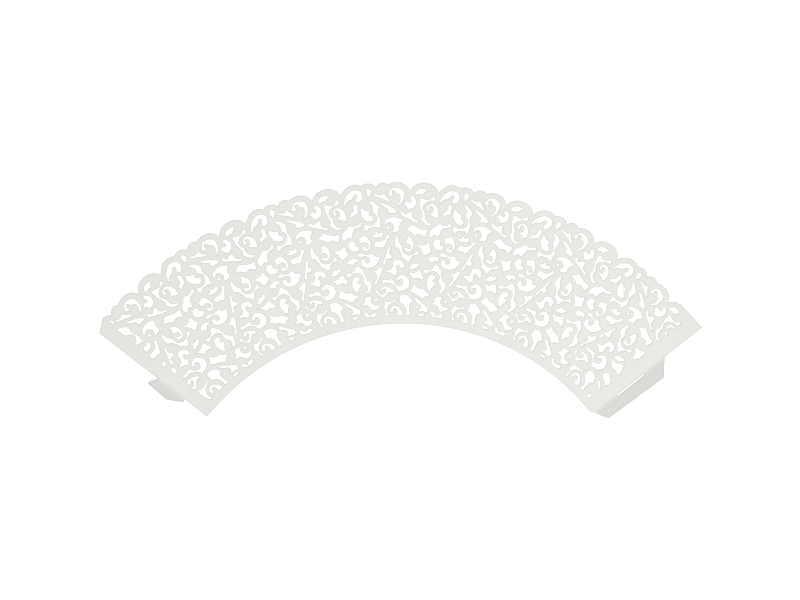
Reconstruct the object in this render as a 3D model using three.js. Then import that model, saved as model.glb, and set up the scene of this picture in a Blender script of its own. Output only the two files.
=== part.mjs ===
// Lace cupcake wrapper: one sheet of card, cut flat, with the closing flap and tongue at its ends bent up.
// Millimetres, +Z up. The sheet lies on Z = 0 with its middle line along +Y and its scalloped edge at +Y.
// The origin is on the ground, under the middle of the sheet's bounding box.
import * as THREE from 'three';
import { mergeGeometries, mergeVertices } from 'three/addons/utils/BufferGeometryUtils.js';

// The closed wrapper is a cone: its two diameters and the height of its wall along the slope
const BASE_DIAMETER = 51.2;
const TOP_DIAMETER = 80.3;
const WALL_HEIGHT = 51;
const CARD_THICKNESS = 0.3;

// The lace: how many repeats fill the sheet, and where the first one starts
const REPEATS = 7;
const FIRST_REPEAT_OFFSET = 1.05;

// The sheet's corners: cut off at the top left and base right, a plain straight edge at the top right
const LEFT_CORNER_DROP = 2.5;
const LEFT_CORNER_RUN = 4.4;
const RIGHT_CORNER_RISE = 0.6;
const PLAIN_EDGE_RUN = 10.8;
const RIGHT_BASE_CUT = 1;

// The laser burns this much away outside each drawn cut
const BURNT_WIDTH = 0.04;

// The flap on the right end: free lengths of the end above and below it, its width, and its slanted sides
const FLAP_TOP_GAP = 17.6;
const FLAP_BASE_GAP = 1.2;
const FLAP_WIDTH_TOP = 5.8;
const FLAP_WIDTH_BASE = 4.9;
const FLAP_SLANT_TOP = 5.2;
const FLAP_SLANT_BASE = 2.5;
const FLAP_ANGLE = THREE.MathUtils.degToRad(36);

// The slit in the flap's fold, which runs along the end of the sheet
const SLIT_LENGTH = 12.8;
const SLIT_WIDTH = 0.6;
const SLIT_ABOVE_BASE = 11.5;

// The tongue on the left end, which goes into the slit: its neck, its outline and its curl
const SLIT_CLEARANCE = 1.1;
const TONGUE_BELOW_SLIT = 1.15;
const TONGUE_LENGTH = 4.25;
const TONGUE_CURL = THREE.MathUtils.degToRad(50);
const TONGUE_BARB = 2.35;
const TONGUE_BARB_LENGTH = 3.6;
const TONGUE_TIP_FROM_TOP = 6.55;
const TONGUE_SHOULDER = 0.4;
const TONGUE_SHOULDER_LENGTH = 1.1;

// How closely straight edges follow the curves, as a distance and, for a small cut, as a share of its width
const CUT_TOLERANCE = 0.395;
const CUT_TOLERANCE_SHARE = 0.2;
const EDGE_TOLERANCE = 0.15;

// How finely curves are sampled before they are thinned, and how many facets the two bends have
const SAMPLES_PER_SPAN = 8;
const FOLD_FACETS = 2;
const CURL_FACETS = 6;

const CARD_COLOUR = 0xe5e6e1;

// One repeat of the lace, drawn in millimetres: x along the wall at half height, y up from the base line.
// A point marked c is a sharp corner, and the outline runs smoothly through the others.
const c = true;
const CUTS = {
  bead: [
    [5.05, 48.5], [4.72, 48.1], [4.62, 47.4], [4.8, 46.4], [5.1, 45.75], [5.6, 46.6], [5.88, 47.4],
    [5.6, 48.05],
  ],
  bump_wedge: [
    [6.7, 46.2], [7, 46.38], [7.8, 46], [8.7, 45.93], [9.62, 46.38, c], [10, 45.6], [10.6, 44.62],
    [11.23, 44.05], [11.05, 43.68, c], [9, 44.9], [7.5, 45.68],
  ],
  leaf_curl: [
    [11.8, 45.67], [11.4, 45.9], [11.18, 46.35], [11.55, 47.2], [12.02, 48], [13.15, 48.41], [14, 48.25],
    [14.9, 47.7], [15.4, 46.95], [15.53, 46.3], [15.4, 44.5], [15, 43.45], [14.35, 42.65],
    [13.5, 42.1, c], [14.15, 42.95], [14.65, 43.8], [14.75, 45], [14.45, 46.05], [14.2, 46.25],
    [13.75, 46.25], [13.5, 46.45], [13.45, 46.9], [13, 47.55], [12.65, 47.73], [12.1, 47.57],
    [11.88, 47.2], [11.88, 46.6], [12.08, 45.95],
  ],
  comma: [
    [18.05, 45.38], [17.75, 45.22], [17.62, 44.85], [18.05, 44.1], [18, 43.6], [17.7, 43.15], [17.45, 42.98],
    [16.75, 43.38], [16.4, 43.35], [16.02, 42.8], [16.15, 42.35], [16.68, 41.75], [16.8, 41.3], [17.3, 41],
    [18, 41.23], [18.75, 41.75], [19.31, 43.5], [18.9, 44.75], [18.4, 45.25],
  ],
  top_crescent: [
    [19.6, 46.2], [19.27, 46.5], [19.65, 47.5], [20.4, 47.98], [21.2, 48.17], [22.4, 48.02, c],
    [21.9, 47.38], [21.1, 46.32, c], [20.55, 46.56], [20.15, 46.42],
  ],
  long_ribbon: [
    [21, 44.85, c], [22, 44.39], [22.8, 44.27], [23.45, 44.42], [24, 45], [24.58, 45.9, c],
    [24.95, 44.9], [24.75, 44.35, c], [24.2, 44.42], [23.6, 44.28], [22.75, 43.87], [21.9, 42.98],
    [21.4, 42.1], [21.38, 41.4], [21.6, 40.5], [22.2, 39.65], [22.25, 38.3], [22.55, 37.35],
    [23.2, 36.45], [23.8, 36.05], [24.72, 36.1, c], [24.1, 35.51], [23.3, 35.6], [22.7, 35.95],
    [21.4, 37.4], [21.3, 37.8], [21.6, 38.3], [21.67, 39], [21.3, 40.3], [21.05, 41.2], [20.64, 42.4],
    [20.75, 43.5], [20.62, 44], [20.68, 44.6],
  ],
  top_spiral: [
    [23.6, 40.95], [23.35, 42.1], [23.55, 42.33], [24, 42.51], [24.5, 42.35], [24.85, 42], [25.02, 41.2],
    [24.8, 40.15], [24.4, 39.7], [23.7, 39.38, c], [24.8, 39.07], [25.97, 38.19, c], [26.3, 38.5],
    [26.42, 39.5], [26.4, 40.5], [26, 41.7], [25, 42.8], [24.4, 43], [23.8, 42.88], [23.1, 42.35],
    [22.97, 41.6], [23.1, 41], [23.45, 40.73],
  ],
  right_crescent: [
    [26.45, 43.2, c], [26.85, 45.05], [27.15, 45.5], [27.3, 46.1], [28, 47.05], [29, 48], [29.6, 48.28],
    [30.4, 48.33], [31.4, 48.05], [32, 47.35], [32.27, 46.3], [32.1, 45.35], [31.65, 44.58],
    [30.95, 44.21], [30.5, 44.5], [30.42, 45], [30.9, 46.3], [30.65, 46.98], [30.15, 47.17],
    [29.85, 46.98], [29.35, 46.3], [28.95, 45.6], [28.6, 45.4], [28.1, 45.35], [27.5, 44.95],
    [27, 44.35],
  ],
  boot: [
    [29.42, 43.5, c], [29.45, 42.5], [29.3, 41.6], [29, 40.92], [28.1, 40.15], [28.02, 39.7],
    [28.12, 38.95, c], [28.8, 39.65], [30, 40.05], [30.2, 40.35], [30.25, 41.6], [30.53, 42.68, c],
    [30.05, 43],
  ],
  heart: [
    [31.6, 42, c], [31.33, 40.2], [31.45, 39.4], [31.8, 38.55], [32.35, 37.8], [32.95, 37.28],
    [33.6, 37.05], [34.25, 37.12], [34.75, 37.6], [34.5, 38.65], [34.05, 38.75], [33.75, 39.1],
    [33.55, 39.55], [33.85, 39.95], [33.8, 40.3], [33.3, 40.58], [32.6, 40.77], [32, 41.5],
  ],
  sail: [
    [5, 43.9, c], [5.55, 43.86], [6.2, 43.6], [6.9, 43], [7.5, 42.25], [7.82, 41.5], [7.55, 40.65],
    [7.3, 38.98, c], [6.8, 39.5], [6.1, 40.42], [6.17, 41.3], [6.05, 42.6],
  ],
  diagonal_wedge: [
    [8.35, 43.25, c], [9.2, 42.98], [10.95, 42], [12.45, 41], [13, 40.5], [13.3, 39.85],
    [13.15, 39.6, c], [10.98, 39.55, c], [10.92, 40.55], [10.7, 41.25], [9.7, 41.95],
  ],
  bracket: [
    [14.68, 39.7], [15, 39.94], [15.35, 39.8], [15.7, 39.1], [16.25, 38.82], [16.6, 38.95], [17.05, 39.48],
    [18.25, 39.8, c], [18.2, 38.2], [18.5, 37.55], [19.2, 37], [19.85, 36.94], [20.38, 36.12, c],
    [18.7, 36.85], [16.4, 38.05], [14.9, 38.9],
  ],
  butterfly: [
    [7.45, 38.2, c], [7, 36.8], [6.15, 35.85], [5.5, 35.48], [4.85, 35.3], [4.3, 35.35], [3.3, 35.75],
    [2.95, 35.3], [3.1, 34.15], [3.5, 33.92], [4, 34.5], [4.4, 34.85], [5.2, 35], [6.1, 35.12],
    [6.6, 35], [7.8, 34.4, c], [7.85, 36.1], [8.05, 36.7], [7.75, 37.8],
  ],
  sickle: [
    [9.8, 35.82], [9.55, 36.12], [10, 37], [11, 37.62], [11.9, 37.86], [12.6, 37.86], [13.6, 37.67],
    [15.15, 36.85, c], [14.55, 36.1], [14.15, 35.45], [14.06, 34.4], [14.17, 33.75], [13.85, 33.25],
    [13, 32.95], [12.02, 32.74, c], [12.4, 33.62], [12.62, 34.5], [12.55, 35.1], [11.8, 36.12],
    [10.9, 36.42], [10.35, 36.22],
  ],
  eye: [[10.63, 34.75], [11.05, 34.33], [10.63, 33.9], [10.2, 34.33]],
  bat: [
    [4.6, 31.8, c], [5.65, 31.88], [6.15, 32.2], [6.45, 32.9], [6.8, 32.8], [7, 32.38], [7.4, 32.18],
    [7.95, 32.6], [8.35, 32.76], [8.6, 32.45], [8.62, 31.95], [8.25, 31.5], [7.6, 31.26], [6.3, 31.19],
  ],
  anvil: [
    [5.73, 28], [5.8, 29.1], [6.1, 29.46, c], [8.1, 29.47], [9.2, 30.05], [9.75, 30.6], [10.15, 31.6],
    [10.45, 31.68], [10.77, 31.2], [9.85, 29.7], [8.95, 27.9], [8.65, 27.42, c], [8, 27.47],
    [7.4, 27.78], [6, 27.73, c],
  ],
  spear: [
    [10.9, 27.75, c], [10.15, 26.2], [9.5, 24.35], [8.88, 23.1], [8.4, 21.6], [8.65, 21.25],
    [8.95, 21.5], [9.19, 22.05], [9.17, 23.25, c], [10, 23.4], [10.5, 23.25], [11, 23.43],
    [11.48, 23.85], [11.35, 24.1], [10.95, 24.45], [10.55, 25], [10.6, 25.9], [11, 27.05],
  ],
  long_twist: [
    [13.32, 31.05], [13.75, 31.35, c], [13.77, 30.2], [13.8, 29.7], [14.15, 28.7], [14.8, 27.9],
    [15.06, 27.4], [15, 26.8], [15.08, 25.85], [15.5, 25.15], [16.5, 24.4], [17.8, 24.24],
    [18.62, 24.28, c], [17.95, 22.9], [17.6, 22.25], [17.35, 22.14], [17.05, 22.3], [16.35, 23.1],
    [15.15, 23.85, c], [15.05, 24.95], [14.5, 26], [14.3, 26.55], [13.65, 27.3], [12.95, 27.6],
    [12.73, 27.9], [12.78, 28.6], [12.9, 29.85],
  ],
  pear_spiral: [
    [17.15, 31], [17.35, 31.15, c], [18, 30.53], [18.8, 29.5], [19.03, 28.6], [18.85, 27], [18.5, 26.2],
    [17.9, 25.87], [17.2, 25.8], [16.7, 25.98], [16.3, 26.3], [16.32, 26.85], [16.55, 27], [17.25, 26.43],
    [17.6, 26.37], [18.05, 26.55], [18.35, 27], [18.35, 27.65], [18, 28.2], [17.5, 28.6], [16.3, 28.78, c],
    [16.75, 29.28], [17.08, 30.5],
  ],
  hammer: [
    [16.53, 33.6, c], [17.5, 34.28], [18.1, 34.95], [18.45, 35.13, c], [20, 34.28], [21.5, 33.7],
    [22.4, 33.61], [23.05, 33.73], [23.31, 33.35], [22.98, 32], [22.8, 31.14, c], [21.8, 32], [21, 32.31],
    [20.3, 32.25], [19.45, 31.81], [19.1, 32], [18.5, 32.7], [17.8, 33.07],
  ],
  mitten: [
    [24.82, 31.35], [24.52, 31.55], [24.4, 32.4], [24.55, 33.3], [25, 34.05], [26.4, 35.2], [26.8, 35.8],
    [27.45, 36.03], [28, 35.77], [29.1, 35.69], [30.1, 36.15], [30.5, 36.55], [30.85, 37.1, c],
    [30.78, 35.6, c], [29.2, 35.22], [28.6, 34.98], [28.05, 34.25], [27.65, 33.3], [27.35, 32.02],
    [26.95, 31.89], [26.25, 32.37], [25.7, 32.1],
  ],
  bean: [
    [27.05, 30.57], [26.5, 30.35], [26.15, 29.75], [25.92, 29], [26.2, 28.2], [26.8, 27.5], [27.5, 27.07],
    [28.3, 27.04], [29, 27.25], [29.3, 27.8], [29.1, 28.35], [28.6, 28.41], [28, 29.2], [28.18, 29.9],
    [27.95, 30.25],
  ],
  hook_star: [
    [29.6, 31.15, c], [30.8, 31.68], [31.45, 31.95], [32, 31.82], [32.5, 31.05], [33, 30.15], [33.3, 29],
    [33.1, 27.95], [32.4, 26.88], [31.5, 26.67], [30.95, 26.98], [30.8, 27.4], [30.85, 28],
    [31.15, 28.07], [31.6, 27.5], [32, 27.35], [32.45, 27.48], [32.92, 28.5], [32.7, 29.15],
    [32.2, 29.7], [31.5, 29.95], [30.4, 29.72], [29.85, 29.55, c], [29.88, 30.65],
  ],
  star: [
    [20.62, 28.18, c], [22, 27.95], [23.05, 28.15], [23.6, 28.52], [24.37, 29.3, c], [24.55, 27.85],
    [24.85, 27.05], [25.46, 26.12, c], [24.55, 25.6], [23.7, 25], [23.13, 24.6, c], [22.85, 25],
    [22.5, 25.85], [21.95, 26.8], [21.3, 27.5],
  ],
  tadpole: [[19.1, 24.47, c], [19.9, 25.2], [20.43, 26.1, c], [21, 25.1], [20.8, 24.78], [20.2, 24.78]],
  small_whale: [
    [24.4, 22.95, c], [25.3, 23.95], [26.6, 24.28], [27.5, 24.3], [28.2, 23.5], [28, 23.05], [27.3, 23.33],
    [26.75, 22.95], [26.2, 22.3], [25.5, 22.7],
  ],
  fish_tail: [
    [28.75, 25.3], [29.2, 25.78], [29.9, 25.87], [31.02, 25.15, c], [30.3, 24.95], [29.55, 24.8],
  ],
  great_curl: [
    [31.6, 24.95, c], [32.6, 25.1], [33.8, 25.3], [34.3, 24.6], [35, 24.05], [36.3, 24, c], [35.7, 22.7],
    [34.7, 21.4], [33.4, 20.75], [32.3, 20.6], [31, 20.9], [29.9, 21.6], [29.58, 22.5], [29.95, 23.5],
    [30.4, 23.6], [30.7, 23], [31, 22.25], [31.6, 22.02], [32.4, 22.3], [32.72, 23.1], [32.4, 24.3],
  ],
  fish: [
    [18.05, 19.95], [18.7, 20.65], [19, 21.4], [20.2, 21.25], [21.1, 21.7], [21.5, 21.5], [21.1, 20.7],
    [20.2, 20.05], [19.3, 19.75], [18.4, 19.6],
  ],
  crane: [
    [12, 22.1, c], [12.8, 22.5], [13.8, 22.6], [15, 22.2], [15.7, 21.1], [15.8, 20.3], [15.2, 19.87],
    [14.6, 20.4], [14.1, 21.15], [13.3, 20.95], [12.8, 20], [13.3, 18.5], [12.9, 17.85], [12.3, 17.4],
    [11.4, 18], [10.3, 18.6], [9.3, 18.6, c], [10, 19.1], [11.1, 19.3], [11.9, 20.2], [12.05, 21.2],
  ],
  lance: [
    [4.6, 18.95, c], [5.9, 19.28], [6.8, 20.1], [7.4, 20.32], [7.85, 19.8], [7.4, 18.6], [6.6, 17.1],
    [5.95, 16.1], [5.4, 15.1], [4.95, 14.3], [4.68, 14.35], [5.05, 15.5], [5.75, 16.6], [5.9, 17.6],
    [5.45, 18.4],
  ],
  ray: [
    [16.6, 18.5, c], [17.8, 18.1], [19.3, 17.92], [20.5, 18.28], [21.4, 18.95], [22, 19], [22.35, 18.1],
    [23, 17], [23.2, 16.3], [22.8, 16.05], [21.9, 16.45], [20.8, 16.6], [19.6, 16.3], [19, 17],
    [18.1, 17.8],
  ],
  swallow: [
    [23.5, 19.05], [23.9, 19.42], [25.5, 19.28], [26.6, 20.05], [27.2, 21], [27.9, 21.48], [28.6, 20.95],
    [29.1, 20.2], [29.75, 19.7], [29.95, 18.6], [30.2, 17.3], [30.75, 16.1], [31.8, 15.4], [32.25, 14.7],
    [32.1, 13.5], [31.3, 12.1], [29.8, 11.35, c], [30.85, 12.9], [30.7, 14.2], [29.9, 15.2],
    [29.7, 16.2], [29.82, 17.3], [29.5, 18.2], [28.6, 18.92], [27, 19.38], [25.6, 19.08], [24.3, 18.3],
  ],
  notched_bean: [
    [26.7, 17.62], [27.7, 17.45], [27.95, 16.75], [27, 16.1], [26.85, 15.65], [27.3, 15.3], [28.1, 14.95],
    [27.95, 14.4], [27.1, 13.4], [26.7, 12.6], [26.3, 12.3], [25.5, 13.3], [25.1, 15], [25.3, 16.2],
    [25.8, 17.25],
  ],
  ram_horn: [
    [12.75, 13.52, c], [13.5, 13.3], [14.6, 13.25], [15.5, 13.85], [15.85, 14.7], [15.4, 15.8],
    [14.6, 16.12], [13.9, 15.7], [13.4, 15.37], [13.2, 15.75], [14, 16.65], [15.1, 17.25], [16.2, 16.95],
    [17.3, 16.1], [17.9, 14.9], [17.95, 13.7], [17.2, 12.6], [16, 12], [14.8, 11.85], [13.9, 11.62],
    [13.5, 12.3],
  ],
  club: [
    [7.42, 15.22], [7.85, 15.64], [9.4, 15.43], [10.9, 15.78], [11.6, 15.55], [11.8, 14.8],
    [12.3, 13.85, c], [11.3, 14.3], [10.2, 14.78], [7.7, 14.88],
  ],
  elephant: [
    [6.92, 12.4], [7.5, 13.08], [8.4, 13.22], [9.6, 12.95], [10.6, 12.55], [11.5, 11.9],
    [11.97, 11.08, c], [11, 11.42], [9.6, 11.35], [8.9, 10.5], [8, 9.8], [7.2, 9.45], [6.6, 10],
    [6.12, 10.6, c], [7, 10.34], [8.1, 10.57], [8.85, 11.3], [9.05, 12.4], [8.6, 12.72], [8.1, 12.7],
    [7.5, 12.25], [7.1, 12.15],
  ],
  drop: [[4.95, 12.4], [4.7, 12.05], [4.8, 11.5], [5.2, 11.2], [5.7, 11, c], [5.45, 11.5], [5.25, 12.1]],
  ring: [[4.55, 9.38], [5.07, 8.86], [4.55, 8.34], [4.03, 8.86]],
  boat: [
    [29.25, 9.85], [30.3, 10.07], [31.2, 10.1], [32.15, 10.38, c], [31.4, 9.5], [31.2, 8.6], [31.6, 7.6],
    [32.4, 6.95], [33.8, 6.6], [35.1, 6.85, c], [34.2, 5.9], [33, 5.35], [31.8, 5.3], [31.3, 5.9],
    [30.6, 6.85], [29.5, 7.4], [27.42, 7.2, c], [28.8, 8.15], [29.2, 9],
  ],
  base_wave: [
    [28.02, 4.35], [28.32, 4.7], [28.9, 4.48], [29.35, 4.02], [29.8, 3.45], [30.5, 3.3], [31.3, 3.68],
    [32.2, 4], [33, 3.85], [33.1, 3.4], [32.6, 2.95], [31.3, 2.85], [30, 2.95], [29.1, 3], [28.45, 3.55],
  ],
  mushroom: [
    [14.65, 9.7], [15.2, 10.03], [16.4, 10.2], [17.5, 9.85], [18.5, 9.1], [19.45, 7.8], [19.2, 7.4],
    [18.3, 6.9], [18.28, 5.9], [18.4, 4.4], [18.65, 3.1], [18.2, 2.9], [17.3, 3.2], [17.42, 4.1],
    [17.1, 5.4], [16, 6.75], [14.55, 7.6], [14.72, 8.6],
  ],
  forked_leaf: [
    [8.15, 7.5], [8.5, 7.93], [9.2, 7.7], [11.2, 7.7], [12.25, 8.3], [12.88, 8.7, c], [12.6, 8],
    [11.4, 7.45], [9.9, 6.88], [9.2, 6.1], [8.7, 5.3], [8.55, 4.8], [8.75, 4], [9.3, 3.05], [8.88, 2.9],
    [8.42, 3.65], [8.22, 4.6], [8.15, 5.3], [7.5, 5.88], [7.95, 6.6],
  ],
  base_hook: [
    [10.4, 4.72], [10.93, 5.62], [12, 6.13], [13.1, 5.88], [14.3, 5.15], [15.1, 4.15], [15.5, 3.2],
    [15.3, 2.95], [14.2, 2.83], [13.42, 3.1], [13.6, 4.3], [13, 5.25], [12, 5.47], [11.3, 5.1],
    [11.25, 4.2], [10.95, 3.88], [10.52, 4.12],
  ],
  arrow: [
    [20.38, 9.28, c], [21.4, 8.8], [22.6, 8], [24.2, 6.97], [26, 5.85], [26.3, 5.4], [26.15, 4.65],
    [25.8, 4.38], [24.3, 4.7], [22.1, 4.6, c], [23.4, 5.35], [23.58, 6.3], [22.95, 7.1], [21.3, 7.88],
    [20.9, 8.5],
  ],
  base_dash: [[22.25, 3.28], [23.3, 3.52], [24.4, 3.46], [25.1, 3.2], [24.6, 2.96], [23.2, 2.95]],
  manta: [
    [20, 14.12, c], [21, 13.08], [22.2, 12.47], [23.1, 12.27], [23.7, 12.47], [24.2, 12.05],
    [25.2, 11.3], [26.1, 10.7], [26, 10.35], [24.9, 10.1], [23.7, 9.25], [22.5, 10], [21.2, 10.6],
    [19.1, 11.5], [18.82, 11.95], [19.5, 12.7],
  ],
};

// The border ends the lace at the left: in the first repeat these cuts are drawn anew, or empty and left out
const LEFT_END_CUTS = {
  bead: [
    [5.45, 48.25, c], [6, 47.85], [6.27, 47.2], [6.2, 46.5], [5.95, 46, c], [5.72, 46.6], [5.78, 47.2],
    [5.65, 47.8],
  ],
  sail: [
    [5.2, 44.05, c], [6.2, 43.6], [6.9, 43], [7.5, 42.25], [7.8, 41.5], [7.55, 40.65], [7.3, 39, c],
    [6.5, 39.85], [5.5, 40.55, c], [5.35, 42.3],
  ],
  butterfly: [
    [7.45, 38.3, c], [7.1, 37.1], [6.4, 36.2], [5.3, 35.55, c], [6.3, 35.2], [7.1, 34.95],
    [7.8, 34.4, c], [7.85, 36.1], [8.05, 36.7], [7.75, 37.8],
  ],
  bat: [
    [5.75, 31.45, c], [6, 32.1], [6.45, 32.85], [6.85, 32.8], [7.2, 32.4], [7.6, 32.4], [8.1, 32.95],
    [8.45, 32.9], [8.65, 32.3], [8.35, 31.6], [7.4, 31.2], [6.5, 31.2],
  ],
  anvil: [
    [5.38, 28.2], [5.42, 29.1], [5.75, 29.52, c], [8.1, 29.47], [9.2, 30.05], [9.75, 30.6],
    [10.15, 31.6], [10.45, 31.68], [10.77, 31.2], [9.85, 29.7], [8.95, 27.9], [8.65, 27.42, c],
    [8, 27.47], [7.4, 27.78], [5.7, 27.73, c],
  ],
  end_wedge: [[6.1, 24.25], [7.3, 24.15, c], [6.9, 23.4], [6.4, 22.55, c], [6.1, 22.9], [6.02, 23.6]],
  lance: [
    [6.5, 19.9], [6.9, 20.4], [7.45, 20.4], [7.9, 19.8], [7.6, 19.1], [7.1, 18.4], [6.7, 17.9, c],
    [6.55, 19],
  ],
  drop: [],
  ring: [],
  forked_leaf: [
    [7.05, 8.2, c], [8.3, 7.85], [9.2, 7.7], [11.2, 7.7], [12.25, 8.3], [12.88, 8.7, c], [12.6, 8],
    [11.4, 7.45], [9.9, 6.88], [9.1, 6.1], [8.6, 5.2], [8.55, 4.3], [8.9, 3, c], [7.85, 3.05, c],
    [7.4, 4.5], [7.12, 6.3],
  ],
};

// The same for the last repeat, at the right
const RIGHT_END_CUTS = {
  top_spiral: [
    [24.95, 42.8, c], [24.3, 43], [23.7, 42.85], [23.15, 42.35], [22.95, 41.6], [23.15, 40.95],
    [23.4, 40.7], [23.6, 41.1], [23.42, 41.8], [23.6, 42.3], [24.1, 42.5],
  ],
  spiral_foot: [[23.65, 39.4], [24.25, 39.75], [24.85, 39.3], [24.4, 38.85]],
  right_crescent: [],
  boot: [],
  heart: [],
  mitten: [],
  bean: [],
  hook_star: [],
  star: [
    [20.62, 28.18, c], [22, 27.95], [23.05, 28.15], [23.6, 28.52], [24.37, 29.3, c], [24.65, 28],
    [24.5, 25.7, c], [23.9, 24.8], [23.4, 24.15, c], [22.9, 25], [22.5, 25.85], [21.95, 26.8],
    [21.3, 27.5],
  ],
  small_whale: [],
  fish_tail: [],
  great_curl: [],
  ray: [
    [16.7, 18.7, c], [18, 18.55], [19.6, 18.5], [21, 19], [22.2, 19.7], [22.9, 19.9], [23.3, 19],
    [24, 17.6], [24.25, 16.75], [23.8, 16.4], [22.6, 16.75], [21.5, 16.9], [20.4, 16.6], [19.6, 17.3],
    [18.4, 18.1],
  ],
  swallow: [],
  notched_bean: [],
  boat: [],
  base_wave: [],
  arrow: [
    [20.35, 10, c], [21.2, 9.6], [22.4, 8.95], [23.3, 8.3], [23.5, 7.75], [22.9, 7.8], [21.6, 8.55],
    [20.8, 9.15],
  ],
  base_dash: [
    [21.85, 2.95], [22.1, 3.6], [22.8, 4.1], [23.35, 4.05], [23.25, 3.5], [22.65, 2.95], [22.15, 2.75],
  ],
  manta: [
    [21, 14.4, c], [21.6, 13.8], [22.8, 13.3], [23.7, 12.95], [24.3, 12.4], [24.2, 11.3], [24, 10.2, c],
    [23.3, 10.5], [22.4, 11.2], [21.2, 11.6], [20.2, 12], [19.7, 12.45], [20.3, 13.3],
  ],
};

// One repeat of the scalloped edge: where its arcs begin, each with its height over the chord to the next.
// The last scallop rises in two arcs.
const SCALLOPS = [
  [3.25, 49.8, 1.2],
  [7.42, 48.8, 1.2],
  [10.95, 49.7, 2],
  [17.4, 47.2, 3.3],
  [26, 47.35, 0.17],
  [27.9, 49.8, 0.8],
  [32.333, 49.8, 0],
];
const DRAWN_BASE = -0.25;
const DRAWN_CREST = 50.5;

// Where the drawing lies on the flat sheet
const drawnRepeat = SCALLOPS.at(-1)[0] - SCALLOPS[0][0];
const baseRadius = WALL_HEIGHT * BASE_DIAMETER / (TOP_DIAMETER - BASE_DIAMETER);
const crestRadius = baseRadius + WALL_HEIGHT;
const sectorAngle = Math.PI * BASE_DIAMETER / baseRadius;
const leftEnd = -sectorAngle / 2;
const rightEnd = sectorAngle / 2;
const anglePerDrawn = sectorAngle / (REPEATS * drawnRepeat);
const radiusPerDrawn = WALL_HEIGHT / (DRAWN_CREST - DRAWN_BASE);

// A point of the flat sheet by its radius and its angle from the middle line
function polar(radius, angle) {
  return new THREE.Vector2(radius * Math.sin(angle), radius * Math.cos(angle));
}

// A drawn point of one repeat, placed on the flat sheet
function placeDrawn(point, repeat) {
  const along = point.x - FIRST_REPEAT_OFFSET + repeat * drawnRepeat;
  return polar(baseRadius + (point.y - DRAWN_BASE) * radiusPerDrawn, leftEnd + along * anglePerDrawn);
}

// Points along one stretch that runs smoothly through its drawn points
function smoothStretch(points, closed) {
  const curve = new THREE.CatmullRomCurve3(points.map(([x, y]) => new THREE.Vector3(x, y, 0)), closed);
  const spans = closed ? points.length : points.length - 1;
  return curve.getPoints(spans * SAMPLES_PER_SPAN).map((p) => new THREE.Vector2(p.x, p.y));
}

// How far a point lies to the right of a chord
function rightOfChord(point, start, end) {
  const chord = end.clone().sub(start);
  const offset = point.clone().sub(start);
  const length = chord.length();
  return length > 0 ? offset.cross(chord) / length : offset.length();
}

// The fewest of a curve's points that follow it within a tolerance, as their places in the list
function thin(points, from, to, tolerance) {
  const inner = points.slice(from, to + 1);
  const distances = inner.map((p) => Math.abs(rightOfChord(p, points[from], points[to])));
  const furthest = distances.indexOf(Math.max(...distances));
  if (distances[furthest] <= tolerance) {
    return [from, to];
  }
  const before = thin(points, from, from + furthest, tolerance);
  const after = thin(points, from + furthest, to, tolerance);
  return [...before, ...after.slice(1)];
}

// The stretches of a drawn outline between its sharp corners, the last one ending where the first begins
function stretchesOf(outline) {
  const firstCorner = outline.findIndex((point) => point[2]);
  const turned = [...outline.slice(firstCorner), ...outline.slice(0, firstCorner + 1)];
  const stretches = [];
  let stretch = [turned[0]];
  for (const point of turned.slice(1)) {
    stretch.push(point);
    if (point[2]) {
      stretches.push(stretch);
      stretch = [point];
    }
  }
  return stretches;
}

// How far a curve lies to the right of one of its chords, on average
function meanBulge(points, from, to) {
  const inner = points.slice(from, to + 1);
  const sum = inner.reduce((total, p) => total + rightOfChord(p, points[from], points[to]), 0);
  return sum / inner.length;
}

// Corners that aren't sharp move out by the bulge of the chords beside them, so a cut keeps its area
function balance(points, kept, sharp) {
  const bulges = kept.slice(1).map((to, k) => meanBulge(points, kept[k], to));
  return kept.slice(0, -1).map((place, k) => {
    const point = points[place];
    if (sharp.has(place)) {
      return point;
    }
    const before = points[kept[k > 0 ? k - 1 : kept.length - 2]];
    const after = points[kept[k + 1]];
    const along = after.clone().sub(before).normalize();
    const right = new THREE.Vector2(along.y, -along.x);
    return point.clone().addScaledVector(right, (bulges.at(k - 1) + bulges[k]) / 2);
  });
}

// A cut's outline, moved outward by the width that the laser burns away
function burn(points) {
  const outward = Math.sign(THREE.ShapeUtils.area(points)) * BURNT_WIDTH;
  return points.map((point, i) => {
    const before = point.clone().sub(points.at(i - 1)).normalize();
    const after = points[(i + 1) % points.length].clone().sub(point).normalize();
    const along = before.add(after).normalize();
    return point.clone().addScaledVector(new THREE.Vector2(along.y, -along.x), outward);
  });
}

// A drawn outline as a polygon of few straight edges
function cutOutline(outline) {
  const hasCorners = outline.some((point) => point[2]);
  const stretches = hasCorners ? stretchesOf(outline) : [outline];
  const extent = [0, 1].map((axis) => outline.map((point) => point[axis]));
  const width = Math.min(...extent.map((values) => Math.max(...values) - Math.min(...values)));
  const tolerance = Math.min(CUT_TOLERANCE, CUT_TOLERANCE_SHARE * width);
  const points = [];
  const kept = [0];
  const sharp = new Set();
  for (const stretch of stretches) {
    const from = Math.max(points.length - 1, 0);
    points.splice(from, 1, ...smoothStretch(stretch, !hasCorners));
    kept.push(...thin(points, from, points.length - 1, tolerance).slice(1));
    if (hasCorners) {
      sharp.add(from);
    }
  }
  return burn(balance(points, kept, sharp));
}

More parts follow.
